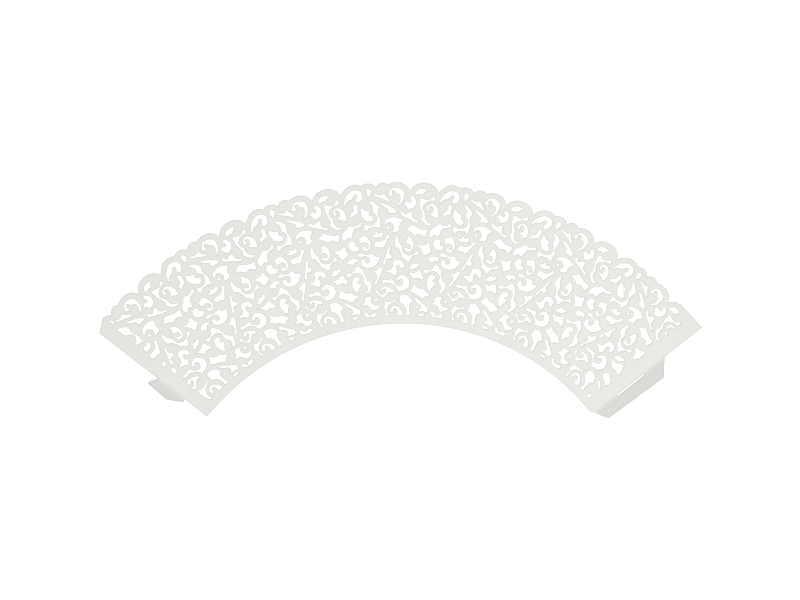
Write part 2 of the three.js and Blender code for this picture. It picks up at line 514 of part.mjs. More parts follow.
// The arc of one scallop, from its notch to the next, as drawn
function scallopArc([x0, y0, height], [x1, y1]) {
  const start = new THREE.Vector2(x0, y0);
  const chord = new THREE.Vector2(x1, y1).sub(start);
  const half = chord.length() / 2;
  const radius = (half * half + height * height) / (2 * height);
  const middle = start.clone().addScaledVector(chord, 0.5);
  const inward = new THREE.Vector2(chord.y, -chord.x).normalize();
  const centre = middle.addScaledVector(inward, radius - height);
  const from = start.clone().sub(centre).angle();
  const sweep = 2 * Math.atan2(half, radius - height);
  const arc = new THREE.ArcCurve(centre.x, centre.y, radius, from, from - sweep, true);
  const points = arc.getPoints(4 * SAMPLES_PER_SPAN);
  return thin(points, 0, points.length - 1, EDGE_TOLERANCE).map((place) => points[place]);
}

function scallopRow() {
  const arcs = SCALLOPS.slice(0, -1).map((notch, i) => scallopArc(notch, SCALLOPS[i + 1]));
  return arcs.flatMap((arc) => arc.slice(0, -1));
}

// Directions at one end of the sheet: up along the end, and outward from it
function endAxes(angle, side) {
  return {
    along: polar(1, angle),
    out: new THREE.Vector2(side * Math.cos(angle), -side * Math.sin(angle)),
  };
}
const rightAxes = endAxes(rightEnd, 1);
const leftAxes = endAxes(leftEnd, -1);

function fromEnd(axes, radius, out) {
  return axes.along.clone().multiplyScalar(radius).addScaledVector(axes.out, out);
}

// The radii of the points where the flap, its slit and the tongue meet the ends of the sheet
const rightCornerRadius = crestRadius + RIGHT_CORNER_RISE;
const slitBase = baseRadius + SLIT_ABOVE_BASE;
const slitTop = slitBase + SLIT_LENGTH;
const flapTop = rightCornerRadius - FLAP_TOP_GAP;
const flapBase = baseRadius + FLAP_BASE_GAP;
const tongueNeck = SLIT_LENGTH - SLIT_CLEARANCE;
const tongueBase = slitBase - TONGUE_BELOW_SLIT;
const tongueTop = tongueBase + tongueNeck;

// The edge of the whole sheet without flap and tongue, clockwise from its lower left corner
function sheetEdge() {
  const cutCorner = LEFT_CORNER_RUN / crestRadius;
  const plainEdge = PLAIN_EDGE_RUN / crestRadius;
  const scallops = [];
  const row = scallopRow();
  for (let repeat = 0; repeat < REPEATS; repeat += 1) {
    scallops.push(...row.map((point) => placeDrawn(point, repeat)));
  }
  const angleOf = (point) => Math.atan2(point.x, point.y);
  const inSheet = (point) => angleOf(point) > leftEnd + cutCorner && angleOf(point) < rightEnd - plainEdge;
  const baseStep = 2 * Math.acos(1 - EDGE_TOLERANCE / baseRadius);
  const baseEnd = rightEnd - RIGHT_BASE_CUT / baseRadius;
  const baseSteps = Math.ceil((baseEnd - leftEnd) / baseStep);
  const base = [];
  for (let i = 0; i < baseSteps; i += 1) {
    base.push(polar(baseRadius, baseEnd - (baseEnd - leftEnd) * i / baseSteps));
  }
  return [
    polar(baseRadius, leftEnd),
    fromEnd(leftAxes, tongueBase, 0),
    fromEnd(leftAxes, tongueTop, 0),
    polar(crestRadius - LEFT_CORNER_DROP, leftEnd),
    ...scallops.filter(inSheet),
    polar(rightCornerRadius, rightEnd),
    fromEnd(rightAxes, flapTop, 0),
    fromEnd(rightAxes, slitTop, 0),
    fromEnd(rightAxes, slitBase, 0),
    fromEnd(rightAxes, flapBase, 0),
    ...base,
  ];
}

function laceCuts() {
  const cuts = [];
  for (let repeat = 0; repeat < REPEATS; repeat += 1) {
    const endCuts = {
      ...(repeat === 0 && LEFT_END_CUTS),
      ...(repeat === REPEATS - 1 && RIGHT_END_CUTS),
    };
    for (const outline of Object.values({ ...CUTS, ...endCuts })) {
      if (outline.length > 0) {
        cuts.push(cutOutline(outline).map((point) => placeDrawn(point, repeat)));
      }
    }
  }
  return cuts;
}

// A side of the flap or tongue is a list of points (distance out, radius); the radius at a distance
function radiusAt(side, out) {
  const next = side.findIndex((point, k) => k > 0 && out <= point[0]);
  const [[outA, radiusA], [outB, radiusB]] = next > 0 ? side.slice(next - 1, next + 1) : side.slice(-2);
  return radiusA + (radiusB - radiusA) * (out - outA) / (outB - outA);
}

// A strip of flap or tongue between two distances from the end of the sheet
function strip(axes, top, base, near, far) {
  const sidePoints = (side) => [
    [near, radiusAt(side, near)],
    ...side.filter(([out]) => out > near && out < far),
    [far, radiusAt(side, far)],
  ];
  const outline = [...sidePoints(top), ...sidePoints(base).reverse()];
  return outline.map(([out, radius]) => fromEnd(axes, radius, out));
}

// The fold bends over the width of the slit, so the slit is what is left out between the fold's strips
function flapStrips() {
  const width = Math.max(FLAP_WIDTH_TOP, FLAP_WIDTH_BASE);
  const outerSide = [[0, flapTop], [FLAP_WIDTH_TOP, flapTop - FLAP_SLANT_TOP]];
  const innerSide = [[0, flapBase], [FLAP_WIDTH_BASE, flapBase + FLAP_SLANT_BASE]];
  const slitTopLine = [[0, slitTop], [width, slitTop]];
  const slitBaseLine = [[0, slitBase], [width, slitBase]];
  const strips = [];
  for (const [top, base] of [[outerSide, slitTopLine], [slitBaseLine, innerSide]]) {
    for (let i = 0; i < FOLD_FACETS; i += 1) {
      const near = SLIT_WIDTH * i / FOLD_FACETS;
      const far = SLIT_WIDTH * (i + 1) / FOLD_FACETS;
      strips.push(strip(rightAxes, top, base, near, far));
    }
  }
  strips.push([
    fromEnd(rightAxes, radiusAt(outerSide, SLIT_WIDTH), SLIT_WIDTH),
    fromEnd(rightAxes, flapTop - FLAP_SLANT_TOP, FLAP_WIDTH_TOP),
    fromEnd(rightAxes, flapBase + FLAP_SLANT_BASE, FLAP_WIDTH_BASE),
    fromEnd(rightAxes, radiusAt(innerSide, SLIT_WIDTH), SLIT_WIDTH),
    fromEnd(rightAxes, slitBase, SLIT_WIDTH),
    fromEnd(rightAxes, slitTop, SLIT_WIDTH),
  ]);
  return strips;
}

function tongueStrips() {
  const tipRadius = tongueTop - TONGUE_TIP_FROM_TOP;
  const top = [[0, tongueTop], [TONGUE_BARB_LENGTH, tongueTop + TONGUE_BARB], [TONGUE_LENGTH, tipRadius]];
  const base = [
    [0, tongueBase],
    [TONGUE_SHOULDER_LENGTH, tongueBase - TONGUE_SHOULDER],
    [TONGUE_LENGTH, tipRadius],
  ];
  const strips = [];
  for (let i = 0; i < CURL_FACETS; i += 1) {
    const near = TONGUE_LENGTH * i / CURL_FACETS;
    const far = TONGUE_LENGTH * (i + 1) / CURL_FACETS;
    strips.push(strip(leftAxes, top, base, near, far));
  }
  return strips;
}

// Where a bend that starts at the end of the sheet carries the card's lower face, and the slope there
function bendProfile(out, length, angle) {
  if (out <= 0) {
    return { out, up: 0, slope: 0 };
  }
  const radius = length / angle + CARD_THICKNESS / 2;
  const slope = angle * Math.min(out / length, 1);
  const beyond = Math.max(out - length, 0);
  return {
    out: radius * Math.sin(slope) + beyond * Math.cos(slope),
    up: radius * (1 - Math.cos(slope)) + beyond * Math.sin(slope),
    slope,
  };
}

// A point of the flat sheet, carried to the card's lower and upper face once flap and tongue are bent
function bend(point) {
  const isRight = point.x > 0;
  const axes = isRight ? rightAxes : leftAxes;
  const flatOut = point.dot(axes.out);
  const profile = isRight
    ? bendProfile(flatOut, SLIT_WIDTH, FLAP_ANGLE)
    : bendProfile(flatOut, TONGUE_LENGTH, TONGUE_CURL);
  const onEnd = point.dot(axes.along);
  const lower = fromEnd(axes, onEnd, profile.out);
  const upper = fromEnd(axes, onEnd, profile.out - CARD_THICKNESS * Math.sin(profile.slope));
  const upperHeight = profile.up + CARD_THICKNESS * Math.cos(profile.slope);
  return [
    new THREE.Vector3(lower.x, lower.y, profile.up),
    new THREE.Vector3(upper.x, upper.y, upperHeight),
  ];
}

function flatGeometry(outline, holes) {
  const shape = new THREE.Shape(outline);
  shape.holes = holes.map((hole) => new THREE.Path(hole));
  const geometry = new THREE.ShapeGeometry(shape);
  geometry.deleteAttribute('normal');
  geometry.deleteAttribute('uv');
  return geometry;
}

// The edges of the flat pattern that only one triangle uses
function openEdges(triangles) {
  const key = (a, b) => `${a},${b}`;
  const edges = new Map();
  for (const [a, b, d] of triangles) {
    [[a, b], [b, d], [d, a]].forEach((edge) => edges.set(key(...edge), edge));
  }
  return [...edges.values()].filter(([a, b]) => !edges.has(key(b, a)));
}

// The flat pattern given the card's thickness, with its flap and tongue bent
function thicken(flat) {
  const position = flat.getAttribute('position');
  const count = position.count;
  const lower = [];
  const upper = [];
  for (let i = 0; i < count; i += 1) {
    const [low, high] = bend(new THREE.Vector2(position.getX(i), position.getY(i)));
    lower.push(...low);
    upper.push(...high);
  }
  const index = flat.getIndex().array;
  const triangles = [];
  for (let i = 0; i < index.length; i += 3) {
    triangles.push([index[i], index[i + 1], index[i + 2]]);
  }
  const faces = triangles.flatMap(([a, b, d]) => [[d, b, a], [a + count, b + count, d + count]]);
  const walls = openEdges(triangles).flatMap(([a, b]) => [[a, b, b + count], [a, b + count, a + count]]);
  const solid = new THREE.BufferGeometry();
  solid.setAttribute('position', new THREE.Float32BufferAttribute([...lower, ...upper], 3));
  solid.setIndex([...faces, ...walls].flat());
  return solid;
}

function buildSheet() {
  const parts = [
    flatGeometry(sheetEdge(), laceCuts()),
    ...flapStrips().map((outline) => flatGeometry(outline, [])),
    ...tongueStrips().map((outline) => flatGeometry(outline, [])),
  ];
  const geometry = thicken(mergeVertices(mergeGeometries(parts)));
  geometry.computeBoundingBox();
  const middle = geometry.boundingBox.getCenter(new THREE.Vector3());
  geometry.translate(-middle.x, -middle.y, 0);
  const card = new THREE.MeshStandardMaterial({
    color: CARD_COLOUR,
    roughness: 0.7,
    metalness: 0,
    flatShading: true,
  });
  const sheet = new THREE.Mesh(geometry, card);
  sheet.name = 'lace_sheet';
  return sheet;
}

const wrapper = new THREE.Group();
wrapper.add(buildSheet());

export default wrapper;
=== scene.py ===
"""Flat lace cupcake wrapper: one sheet of pearly white card with a cut lace, a flap and a curled tongue."""
import math

import bpy
import numpy as np
from mathutils import Matrix, Vector
from mathutils.geometry import delaunay_2d_cdt


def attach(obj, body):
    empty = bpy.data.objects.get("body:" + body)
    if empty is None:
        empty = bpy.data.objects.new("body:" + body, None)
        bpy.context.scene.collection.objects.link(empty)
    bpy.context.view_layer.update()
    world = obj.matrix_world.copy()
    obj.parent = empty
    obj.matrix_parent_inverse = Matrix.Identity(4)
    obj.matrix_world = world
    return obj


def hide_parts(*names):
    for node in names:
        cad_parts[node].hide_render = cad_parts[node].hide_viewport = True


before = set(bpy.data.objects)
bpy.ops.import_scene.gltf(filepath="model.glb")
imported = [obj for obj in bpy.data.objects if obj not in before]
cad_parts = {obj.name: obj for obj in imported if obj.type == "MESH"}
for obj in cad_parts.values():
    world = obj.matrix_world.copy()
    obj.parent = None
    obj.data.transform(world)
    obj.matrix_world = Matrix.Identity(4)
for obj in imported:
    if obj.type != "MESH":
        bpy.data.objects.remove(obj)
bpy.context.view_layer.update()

# Sizes in millimetres, as in the solid
BASE_DIAMETER = 51.2
TOP_DIAMETER = 80.3
WALL_HEIGHT = 51
CARD_THICKNESS = 0.3

REPEATS = 7
FIRST_REPEAT_OFFSET = 1.05

LEFT_CORNER_DROP = 2.5
LEFT_CORNER_RUN = 4.4
RIGHT_CORNER_RISE = 0.6
PLAIN_EDGE_RUN = 10.8
RIGHT_BASE_CUT = 1

BURNT_WIDTH = 0.04

FLAP_TOP_GAP = 17.6
FLAP_BASE_GAP = 1.2
FLAP_WIDTH_TOP = 5.8
FLAP_WIDTH_BASE = 4.9
FLAP_SLANT_TOP = 5.2
FLAP_SLANT_BASE = 2.5

SLIT_LENGTH = 12.8
SLIT_WIDTH = 0.6
SLIT_ABOVE_BASE = 11.5

SLIT_CLEARANCE = 1.1
TONGUE_BELOW_SLIT = 1.15
TONGUE_LENGTH = 4.25
TONGUE_BARB = 2.35
TONGUE_BARB_LENGTH = 3.6
TONGUE_TIP_FROM_TOP = 6.55
TONGUE_SHOULDER = 0.4
TONGUE_SHOULDER_LENGTH = 1.1

# Not in the solid: the soft bends of the flap and the tongue. Each begins this far inside the sheet's end
# and has its slopes in degrees over the distance from there. Beside the flap or the tongue it fades away.
FLAP_ROOT = 1.3
FLAP_SLOPES = [(0, 0), (FLAP_ROOT + SLIT_WIDTH, 29), (FLAP_ROOT + FLAP_WIDTH_TOP, 33)]
TONGUE_ROOT = 1.6
TONGUE_SLOPES = [(0, 0), (TONGUE_ROOT, 25), (2.6, 32), (3.8, 36), (TONGUE_ROOT + TONGUE_LENGTH, 33)]
ROOT_FADE = 2

# Not in the solid either: the corner between the tongue's barb and the top of its root, as out and up from
# that top, the worn edge of the cut card with a band of laser scorch and painted shade along it, and the
# channels between joined cuts
TONGUE_CORNER = (0.86, 0.8)
EDGE_BEVEL = 0.05
EDGE_BAND = 1.1
CHANNEL_WIDTH = 0.32

# How finely curves and bends are drawn
SAMPLES_PER_SPAN = 6
CURVE_TOLERANCE = 0.012
FEWEST_ARC_STEPS = 3
SLIT_END_STEPS = 6
BEND_TABLE_ROWS = 200
BEND_STEP = 0.3
ROOT_STEP = 0.41

# Points nearer to each other than this are one
SAME_POINT = 1e-5
# Up to this far beyond the sheet's end a point still lies on the sheet itself
END_MARGIN = EDGE_BEVEL / 2
# Where the mean of a corner's two inward directions is shorter than this, the worn edge gets narrower
SHORTEST_MEAN = 0.6
# Edges between faces that turn by more degrees than this look sharp
SHARP_TURN = 30

# Where the arcs' centre lies in the part's frame
CENTRE = (-1.2106, -97.927)
MM = 0.001

# One repeat of the lace in millimetres: x along the wall at half height, y up from the base line. A third
# value marks a sharp corner, and the outline runs smoothly through the other points.
c = True
CUTS = {
    "bead": [
        [5.05, 48.5], [4.72, 48.1], [4.62, 47.4], [4.8, 46.4], [5.1, 45.75], [5.6, 46.6], [5.88, 47.4],
        [5.6, 48.05],
    ],
    "bump_wedge": [
        [6.7, 46.2], [7, 46.38], [7.8, 46], [8.7, 45.93], [9.62, 46.38, c], [10, 45.6], [10.6, 44.62],
        [11.23, 44.05], [11.05, 43.68, c], [9, 44.9], [7.5, 45.68],
    ],
    "leaf_curl": [
        [11.8, 45.67], [11.4, 45.9], [11.18, 46.35], [11.55, 47.2], [12.02, 48], [13.15, 48.41],
        [14, 48.25], [14.9, 47.7], [15.4, 46.95], [15.53, 46.3], [15.4, 44.5], [15, 43.45],
        [14.35, 42.65], [13.5, 42.1, c], [14.15, 42.95], [14.65, 43.8], [14.75, 45], [14.45, 46.05],
        [14.2, 46.25], [13.75, 46.25], [13.5, 46.45], [13.45, 46.9], [13, 47.55], [12.65, 47.73],
        [12.1, 47.57], [11.88, 47.2], [11.88, 46.6], [12.08, 45.95],
    ],
    "comma": [
        [18.05, 45.38], [17.75, 45.22], [17.62, 44.85], [18.05, 44.1], [18, 43.6], [17.7, 43.15],
        [17.45, 42.98], [16.75, 43.38], [16.4, 43.35], [16.02, 42.8], [16.15, 42.35], [16.68, 41.75],
        [16.8, 41.3], [17.3, 41], [18, 41.23], [18.75, 41.75], [19.31, 43.5], [18.9, 44.75],
        [18.4, 45.25],
    ],
    "top_crescent": [
        [19.6, 46.2], [19.27, 46.5], [19.65, 47.5], [20.4, 47.98], [21.2, 48.17], [22.4, 48.02, c],
        [21.9, 47.38], [21.1, 46.32, c], [20.55, 46.56], [20.15, 46.42],
    ],
    "long_ribbon": [
        [21, 44.85, c], [22, 44.39], [22.8, 44.27], [23.45, 44.42], [24, 45], [24.58, 45.9, c],
        [24.95, 44.9], [24.75, 44.35, c], [24.2, 44.42], [23.6, 44.28], [22.75, 43.87], [21.9, 42.98],
        [21.4, 42.1], [21.38, 41.4], [21.6, 40.5], [22.2, 39.65], [22.25, 38.3], [22.55, 37.35],
        [23.2, 36.45], [23.8, 36.05], [24.72, 36.1, c], [24.1, 35.51], [23.3, 35.6], [22.7, 35.95],
        [21.4, 37.4], [21.3, 37.8], [21.6, 38.3], [21.67, 39], [21.3, 40.3], [21.05, 41.2], [20.64, 42.4],
        [20.75, 43.5], [20.62, 44], [20.68, 44.6],
    ],
    "top_spiral": [
        [23.6, 40.95], [23.35, 42.1], [23.55, 42.33], [24, 42.51], [24.5, 42.35], [24.85, 42],
        [25.02, 41.2], [24.8, 40.15], [24.4, 39.7], [23.7, 39.38, c], [24.8, 39.07], [25.97, 38.19, c],
        [26.3, 38.5], [26.42, 39.5], [26.4, 40.5], [26, 41.7], [25, 42.8], [24.4, 43], [23.8, 42.88],
        [23.1, 42.35], [22.97, 41.6], [23.1, 41], [23.45, 40.73],
    ],
    "right_crescent": [
        [26.45, 43.2, c], [26.85, 45.05], [27.15, 45.5], [27.3, 46.1], [28, 47.05], [29, 48],
        [29.6, 48.28], [30.4, 48.33], [31.4, 48.05], [32, 47.35], [32.27, 46.3], [32.1, 45.35],
        [31.65, 44.58], [30.95, 44.21], [30.5, 44.5], [30.42, 45], [30.9, 46.3], [30.65, 46.98],
        [30.15, 47.17], [29.85, 46.98], [29.35, 46.3], [28.95, 45.6], [28.6, 45.4], [28.1, 45.35],
        [27.5, 44.95], [27, 44.35],
    ],
    "boot": [
        [29.42, 43.5, c], [29.45, 42.5], [29.3, 41.6], [29, 40.92], [28.1, 40.15], [28.02, 39.7],
        [28.12, 38.95, c], [28.8, 39.65], [30, 40.05], [30.2, 40.35], [30.25, 41.6], [30.53, 42.68, c],
        [30.05, 43],
    ],
    "heart": [
        [31.6, 42, c], [31.33, 40.2], [31.45, 39.4], [31.8, 38.55], [32.35, 37.8], [32.95, 37.28],
        [33.6, 37.05], [34.25, 37.12], [34.75, 37.6], [34.5, 38.65], [34.05, 38.75], [33.75, 39.1],
        [33.55, 39.55], [33.85, 39.95], [33.8, 40.3], [33.3, 40.58], [32.6, 40.77], [32, 41.5],
    ],
    "sail": [
        [5, 43.9, c], [5.55, 43.86], [6.2, 43.6], [6.9, 43], [7.5, 42.25], [7.82, 41.5], [7.55, 40.65],
        [7.3, 38.98, c], [6.8, 39.5], [6.1, 40.42], [6.17, 41.3], [6.05, 42.6],
    ],
    "diagonal_wedge": [
        [8.35, 43.25, c], [9.2, 42.98], [10.95, 42], [12.45, 41], [13, 40.5], [13.3, 39.85],
        [13.15, 39.6, c], [10.98, 39.55, c], [10.92, 40.55], [10.7, 41.25], [9.7, 41.95],
    ],
    "bracket": [
        [14.68, 39.7], [15, 39.94], [15.35, 39.8], [15.7, 39.1], [16.25, 38.82], [16.6, 38.95],
        [17.05, 39.48], [18.25, 39.8, c], [18.2, 38.2], [18.5, 37.55], [19.2, 37], [19.85, 36.94],
        [20.38, 36.12, c], [18.7, 36.85], [16.4, 38.05], [14.9, 38.9],
    ],
    "butterfly": [
        [7.45, 38.2, c], [7, 36.8], [6.15, 35.85], [5.5, 35.48], [4.85, 35.3], [4.3, 35.35], [3.3, 35.75],
        [2.95, 35.3], [3.1, 34.15], [3.5, 33.92], [4, 34.5], [4.4, 34.85], [5.2, 35], [6.1, 35.12],
        [6.6, 35], [7.8, 34.4, c], [7.85, 36.1], [8.05, 36.7], [7.75, 37.8],
    ],
    "sickle": [
        [9.8, 35.82], [9.55, 36.12], [10, 37], [11, 37.62], [11.9, 37.86], [12.6, 37.86], [13.6, 37.67],
        [15.15, 36.85, c], [14.55, 36.1], [14.15, 35.45], [14.06, 34.4], [14.17, 33.75], [13.85, 33.25],
        [13, 32.95], [12.02, 32.74, c], [12.4, 33.62], [12.62, 34.5], [12.55, 35.1], [11.8, 36.12],
        [10.9, 36.42], [10.35, 36.22],
    ],
    "eye": [[10.63, 34.75], [11.05, 34.33], [10.63, 33.9], [10.2, 34.33]],
    "bat": [
        [4.6, 31.8, c], [5.65, 31.88], [6.15, 32.2], [6.45, 32.9], [6.8, 32.8], [7, 32.38], [7.4, 32.18],
        [7.95, 32.6], [8.35, 32.76], [8.6, 32.45], [8.62, 31.95], [8.25, 31.5], [7.6, 31.26],
        [6.3, 31.19],
    ],
    "anvil": [
        [5.73, 28], [5.8, 29.1], [6.1, 29.46, c], [8.1, 29.47], [9.2, 30.05], [9.75, 30.6], [10.15, 31.6],
        [10.45, 31.68], [10.77, 31.2], [9.85, 29.7], [8.95, 27.9], [8.65, 27.42, c], [8, 27.47],
        [7.4, 27.78], [6, 27.73, c],
    ],
    "spear": [
        [10.9, 27.75, c], [10.15, 26.2], [9.5, 24.35], [8.88, 23.1], [8.4, 21.6], [8.65, 21.25],
        [8.95, 21.5], [9.19, 22.05], [9.17, 23.25, c], [10, 23.4], [10.5, 23.25], [11, 23.43],
        [11.48, 23.85], [11.35, 24.1], [10.95, 24.45], [10.55, 25], [10.6, 25.9], [11, 27.05],
    ],
    "long_twist": [
        [13.32, 31.05], [13.75, 31.35, c], [13.77, 30.2], [13.8, 29.7], [14.15, 28.7], [14.8, 27.9],
        [15.06, 27.4], [15, 26.8], [15.08, 25.85], [15.5, 25.15], [16.5, 24.4], [17.8, 24.24],
        [18.62, 24.28, c], [17.95, 22.9], [17.6, 22.25], [17.35, 22.14], [17.05, 22.3], [16.35, 23.1],
        [15.15, 23.85, c], [15.05, 24.95], [14.5, 26], [14.3, 26.55], [13.65, 27.3], [12.95, 27.6],
        [12.73, 27.9], [12.78, 28.6], [12.9, 29.85],
    ],
    "pear_spiral": [
        [17.15, 31], [17.35, 31.15, c], [18, 30.53], [18.8, 29.5], [19.03, 28.6], [18.85, 27],
        [18.5, 26.2], [17.9, 25.87], [17.2, 25.8], [16.7, 25.98], [16.3, 26.3], [16.32, 26.85],
        [16.55, 27], [17.25, 26.43], [17.6, 26.37], [18.05, 26.55], [18.35, 27], [18.35, 27.65],
        [18, 28.2], [17.5, 28.6], [16.3, 28.78, c], [16.75, 29.28], [17.08, 30.5],
    ],
    "hammer": [
        [16.53, 33.6, c], [17.5, 34.28], [18.1, 34.95], [18.45, 35.13, c], [20, 34.28], [21.5, 33.7],
        [22.4, 33.61], [23.05, 33.73], [23.31, 33.35], [22.98, 32], [22.8, 31.14, c], [21.8, 32],
        [21, 32.31], [20.3, 32.25], [19.45, 31.81], [19.1, 32], [18.5, 32.7], [17.8, 33.07],
    ],
    "mitten": [
        [24.82, 31.35], [24.52, 31.55], [24.4, 32.4], [24.55, 33.3], [25, 34.05], [26.4, 35.2],
        [26.8, 35.8], [27.45, 36.03], [28, 35.77], [29.1, 35.69], [30.1, 36.15], [30.5, 36.55],
        [30.85, 37.1, c], [30.78, 35.6, c], [29.2, 35.22], [28.6, 34.98], [28.05, 34.25], [27.65, 33.3],
        [27.35, 32.02], [26.95, 31.89], [26.25, 32.37], [25.7, 32.1],
    ],
    "bean": [
        [27.05, 30.57], [26.5, 30.35], [26.15, 29.75], [25.92, 29], [26.2, 28.2], [26.8, 27.5],
        [27.5, 27.07], [28.3, 27.04], [29, 27.25], [29.3, 27.8], [29.1, 28.35], [28.6, 28.41], [28, 29.2],
        [28.18, 29.9], [27.95, 30.25],
    ],
    "hook_star": [
        [29.6, 31.15, c], [30.8, 31.68], [31.45, 31.95], [32, 31.82], [32.5, 31.05], [33, 30.15],
        [33.3, 29], [33.1, 27.95], [32.4, 26.88], [31.5, 26.67], [30.95, 26.98], [30.8, 27.4],
        [30.85, 28], [31.15, 28.07], [31.6, 27.5], [32, 27.35], [32.45, 27.48], [32.92, 28.5],
        [32.7, 29.15], [32.2, 29.7], [31.5, 29.95], [30.4, 29.72], [29.85, 29.55, c], [29.88, 30.65],
    ],
    "star": [
        [20.62, 28.18, c], [22, 27.95], [23.05, 28.15], [23.6, 28.52], [24.37, 29.3, c], [24.55, 27.85],
        [24.85, 27.05], [25.46, 26.12, c], [24.55, 25.6], [23.7, 25], [23.13, 24.6, c], [22.85, 25],
        [22.5, 25.85], [21.95, 26.8], [21.3, 27.5],
    ],
    "tadpole": [
        [19.1, 24.47, c], [19.9, 25.2], [20.43, 26.1, c], [21, 25.1], [20.8, 24.78], [20.2, 24.78],
    ],
    "small_whale": [
        [24.4, 22.95, c], [25.3, 23.95], [26.6, 24.28], [27.5, 24.3], [28.2, 23.5], [28, 23.05],
        [27.3, 23.33], [26.75, 22.95], [26.2, 22.3], [25.5, 22.7],
    ],
    "fish_tail": [
        [28.75, 25.3], [29.2, 25.78], [29.9, 25.87], [31.02, 25.15, c], [30.3, 24.95], [29.55, 24.8],
    ],
    "great_curl": [
        [31.6, 24.95, c], [32.6, 25.1], [33.8, 25.3], [34.3, 24.6], [35, 24.05], [36.3, 24, c],
        [35.7, 22.7], [34.7, 21.4], [33.4, 20.75], [32.3, 20.6], [31, 20.9], [29.9, 21.6], [29.58, 22.5],
        [29.95, 23.5], [30.4, 23.6], [30.7, 23], [31, 22.25], [31.6, 22.02], [32.4, 22.3], [32.72, 23.1],
        [32.4, 24.3],
    ],
    "fish": [
        [18.05, 19.95], [18.7, 20.65], [19, 21.4], [20.2, 21.25], [21.1, 21.7], [21.5, 21.5],
        [21.1, 20.7], [20.2, 20.05], [19.3, 19.75], [18.4, 19.6],
    ],
    "crane": [
        [12, 22.1, c], [12.8, 22.5], [13.8, 22.6], [15, 22.2], [15.7, 21.1], [15.8, 20.3], [15.2, 19.87],
        [14.6, 20.4], [14.1, 21.15], [13.3, 20.95], [12.8, 20], [13.3, 18.5], [12.9, 17.85], [12.3, 17.4],
        [11.4, 18], [10.3, 18.6], [9.3, 18.6, c], [10, 19.1], [11.1, 19.3], [11.9, 20.2], [12.05, 21.2],
    ],
    "lance": [
        [4.6, 18.95, c], [5.9, 19.28], [6.8, 20.1], [7.4, 20.32], [7.85, 19.8], [7.4, 18.6], [6.6, 17.1],
        [5.95, 16.1], [5.4, 15.1], [4.95, 14.3], [4.68, 14.35], [5.05, 15.5], [5.75, 16.6], [5.9, 17.6],
        [5.45, 18.4],
    ],
    "ray": [
        [16.6, 18.5, c], [17.8, 18.1], [19.3, 17.92], [20.5, 18.28], [21.4, 18.95], [22, 19],
        [22.35, 18.1], [23, 17], [23.2, 16.3], [22.8, 16.05], [21.9, 16.45], [20.8, 16.6], [19.6, 16.3],
        [19, 17], [18.1, 17.8],
    ],
    "swallow": [
        [23.5, 19.05], [23.9, 19.42], [25.5, 19.28], [26.6, 20.05], [27.2, 21], [27.9, 21.48],
        [28.6, 20.95], [29.1, 20.2], [29.75, 19.7], [29.95, 18.6], [30.2, 17.3], [30.75, 16.1],
        [31.8, 15.4], [32.25, 14.7], [32.1, 13.5], [31.3, 12.1], [29.8, 11.35, c], [30.85, 12.9],
        [30.7, 14.2], [29.9, 15.2], [29.7, 16.2], [29.82, 17.3], [29.5, 18.2], [28.6, 18.92], [27, 19.38],
        [25.6, 19.08], [24.3, 18.3],
    ],
    "notched_bean": [
        [26.7, 17.62], [27.7, 17.45], [27.95, 16.75], [27, 16.1], [26.85, 15.65], [27.3, 15.3],
        [28.1, 14.95], [27.95, 14.4], [27.1, 13.4], [26.7, 12.6], [26.3, 12.3], [25.5, 13.3], [25.1, 15],
        [25.3, 16.2], [25.8, 17.25],
    ],
    "ram_horn": [
        [12.75, 13.52, c], [13.5, 13.3], [14.6, 13.25], [15.5, 13.85], [15.85, 14.7], [15.4, 15.8],
        [14.6, 16.12], [13.9, 15.7], [13.4, 15.37], [13.2, 15.75], [14, 16.65], [15.1, 17.25],
        [16.2, 16.95], [17.3, 16.1], [17.9, 14.9], [17.95, 13.7], [17.2, 12.6], [16, 12], [14.8, 11.85],
        [13.9, 11.62], [13.5, 12.3],
    ],
    "club": [
        [7.42, 15.22], [7.85, 15.64], [9.4, 15.43], [10.9, 15.78], [11.6, 15.55], [11.8, 14.8],
        [12.3, 13.85, c], [11.3, 14.3], [10.2, 14.78], [7.7, 14.88],
    ],
    "elephant": [
        [6.92, 12.4], [7.5, 13.08], [8.4, 13.22], [9.6, 12.95], [10.6, 12.55], [11.5, 11.9],
        [11.97, 11.08, c], [11, 11.42], [9.6, 11.35], [8.9, 10.5], [8, 9.8], [7.2, 9.45], [6.6, 10],
        [6.12, 10.6, c], [7, 10.34], [8.1, 10.57], [8.85, 11.3], [9.05, 12.4], [8.6, 12.72], [8.1, 12.7],
        [7.5, 12.25], [7.1, 12.15],
    ],
    "drop": [
        [4.95, 12.4], [4.7, 12.05], [4.8, 11.5], [5.2, 11.2], [5.7, 11, c], [5.45, 11.5], [5.25, 12.1],
    ],
    "ring": [[4.55, 9.38], [5.07, 8.86], [4.55, 8.34], [4.03, 8.86]],
    "boat": [
        [29.25, 9.85], [30.3, 10.07], [31.2, 10.1], [32.15, 10.38, c], [31.4, 9.5], [31.2, 8.6],
        [31.6, 7.6], [32.4, 6.95], [33.8, 6.6], [35.1, 6.85, c], [34.2, 5.9], [33, 5.35], [31.8, 5.3],
        [31.3, 5.9], [30.6, 6.85], [29.5, 7.4], [27.42, 7.2, c], [28.8, 8.15], [29.2, 9],
    ],
    "base_wave": [
        [28.02, 4.35], [28.32, 4.7], [28.9, 4.48], [29.35, 4.02], [29.8, 3.45], [30.5, 3.3], [31.3, 3.68],
        [32.2, 4], [33, 3.85], [33.1, 3.4], [32.6, 2.95], [31.3, 2.85], [30, 2.95], [29.1, 3],
        [28.45, 3.55],
    ],
    "mushroom": [
        [14.65, 9.7], [15.2, 10.03], [16.4, 10.2], [17.5, 9.85], [18.5, 9.1], [19.45, 7.8], [19.2, 7.4],
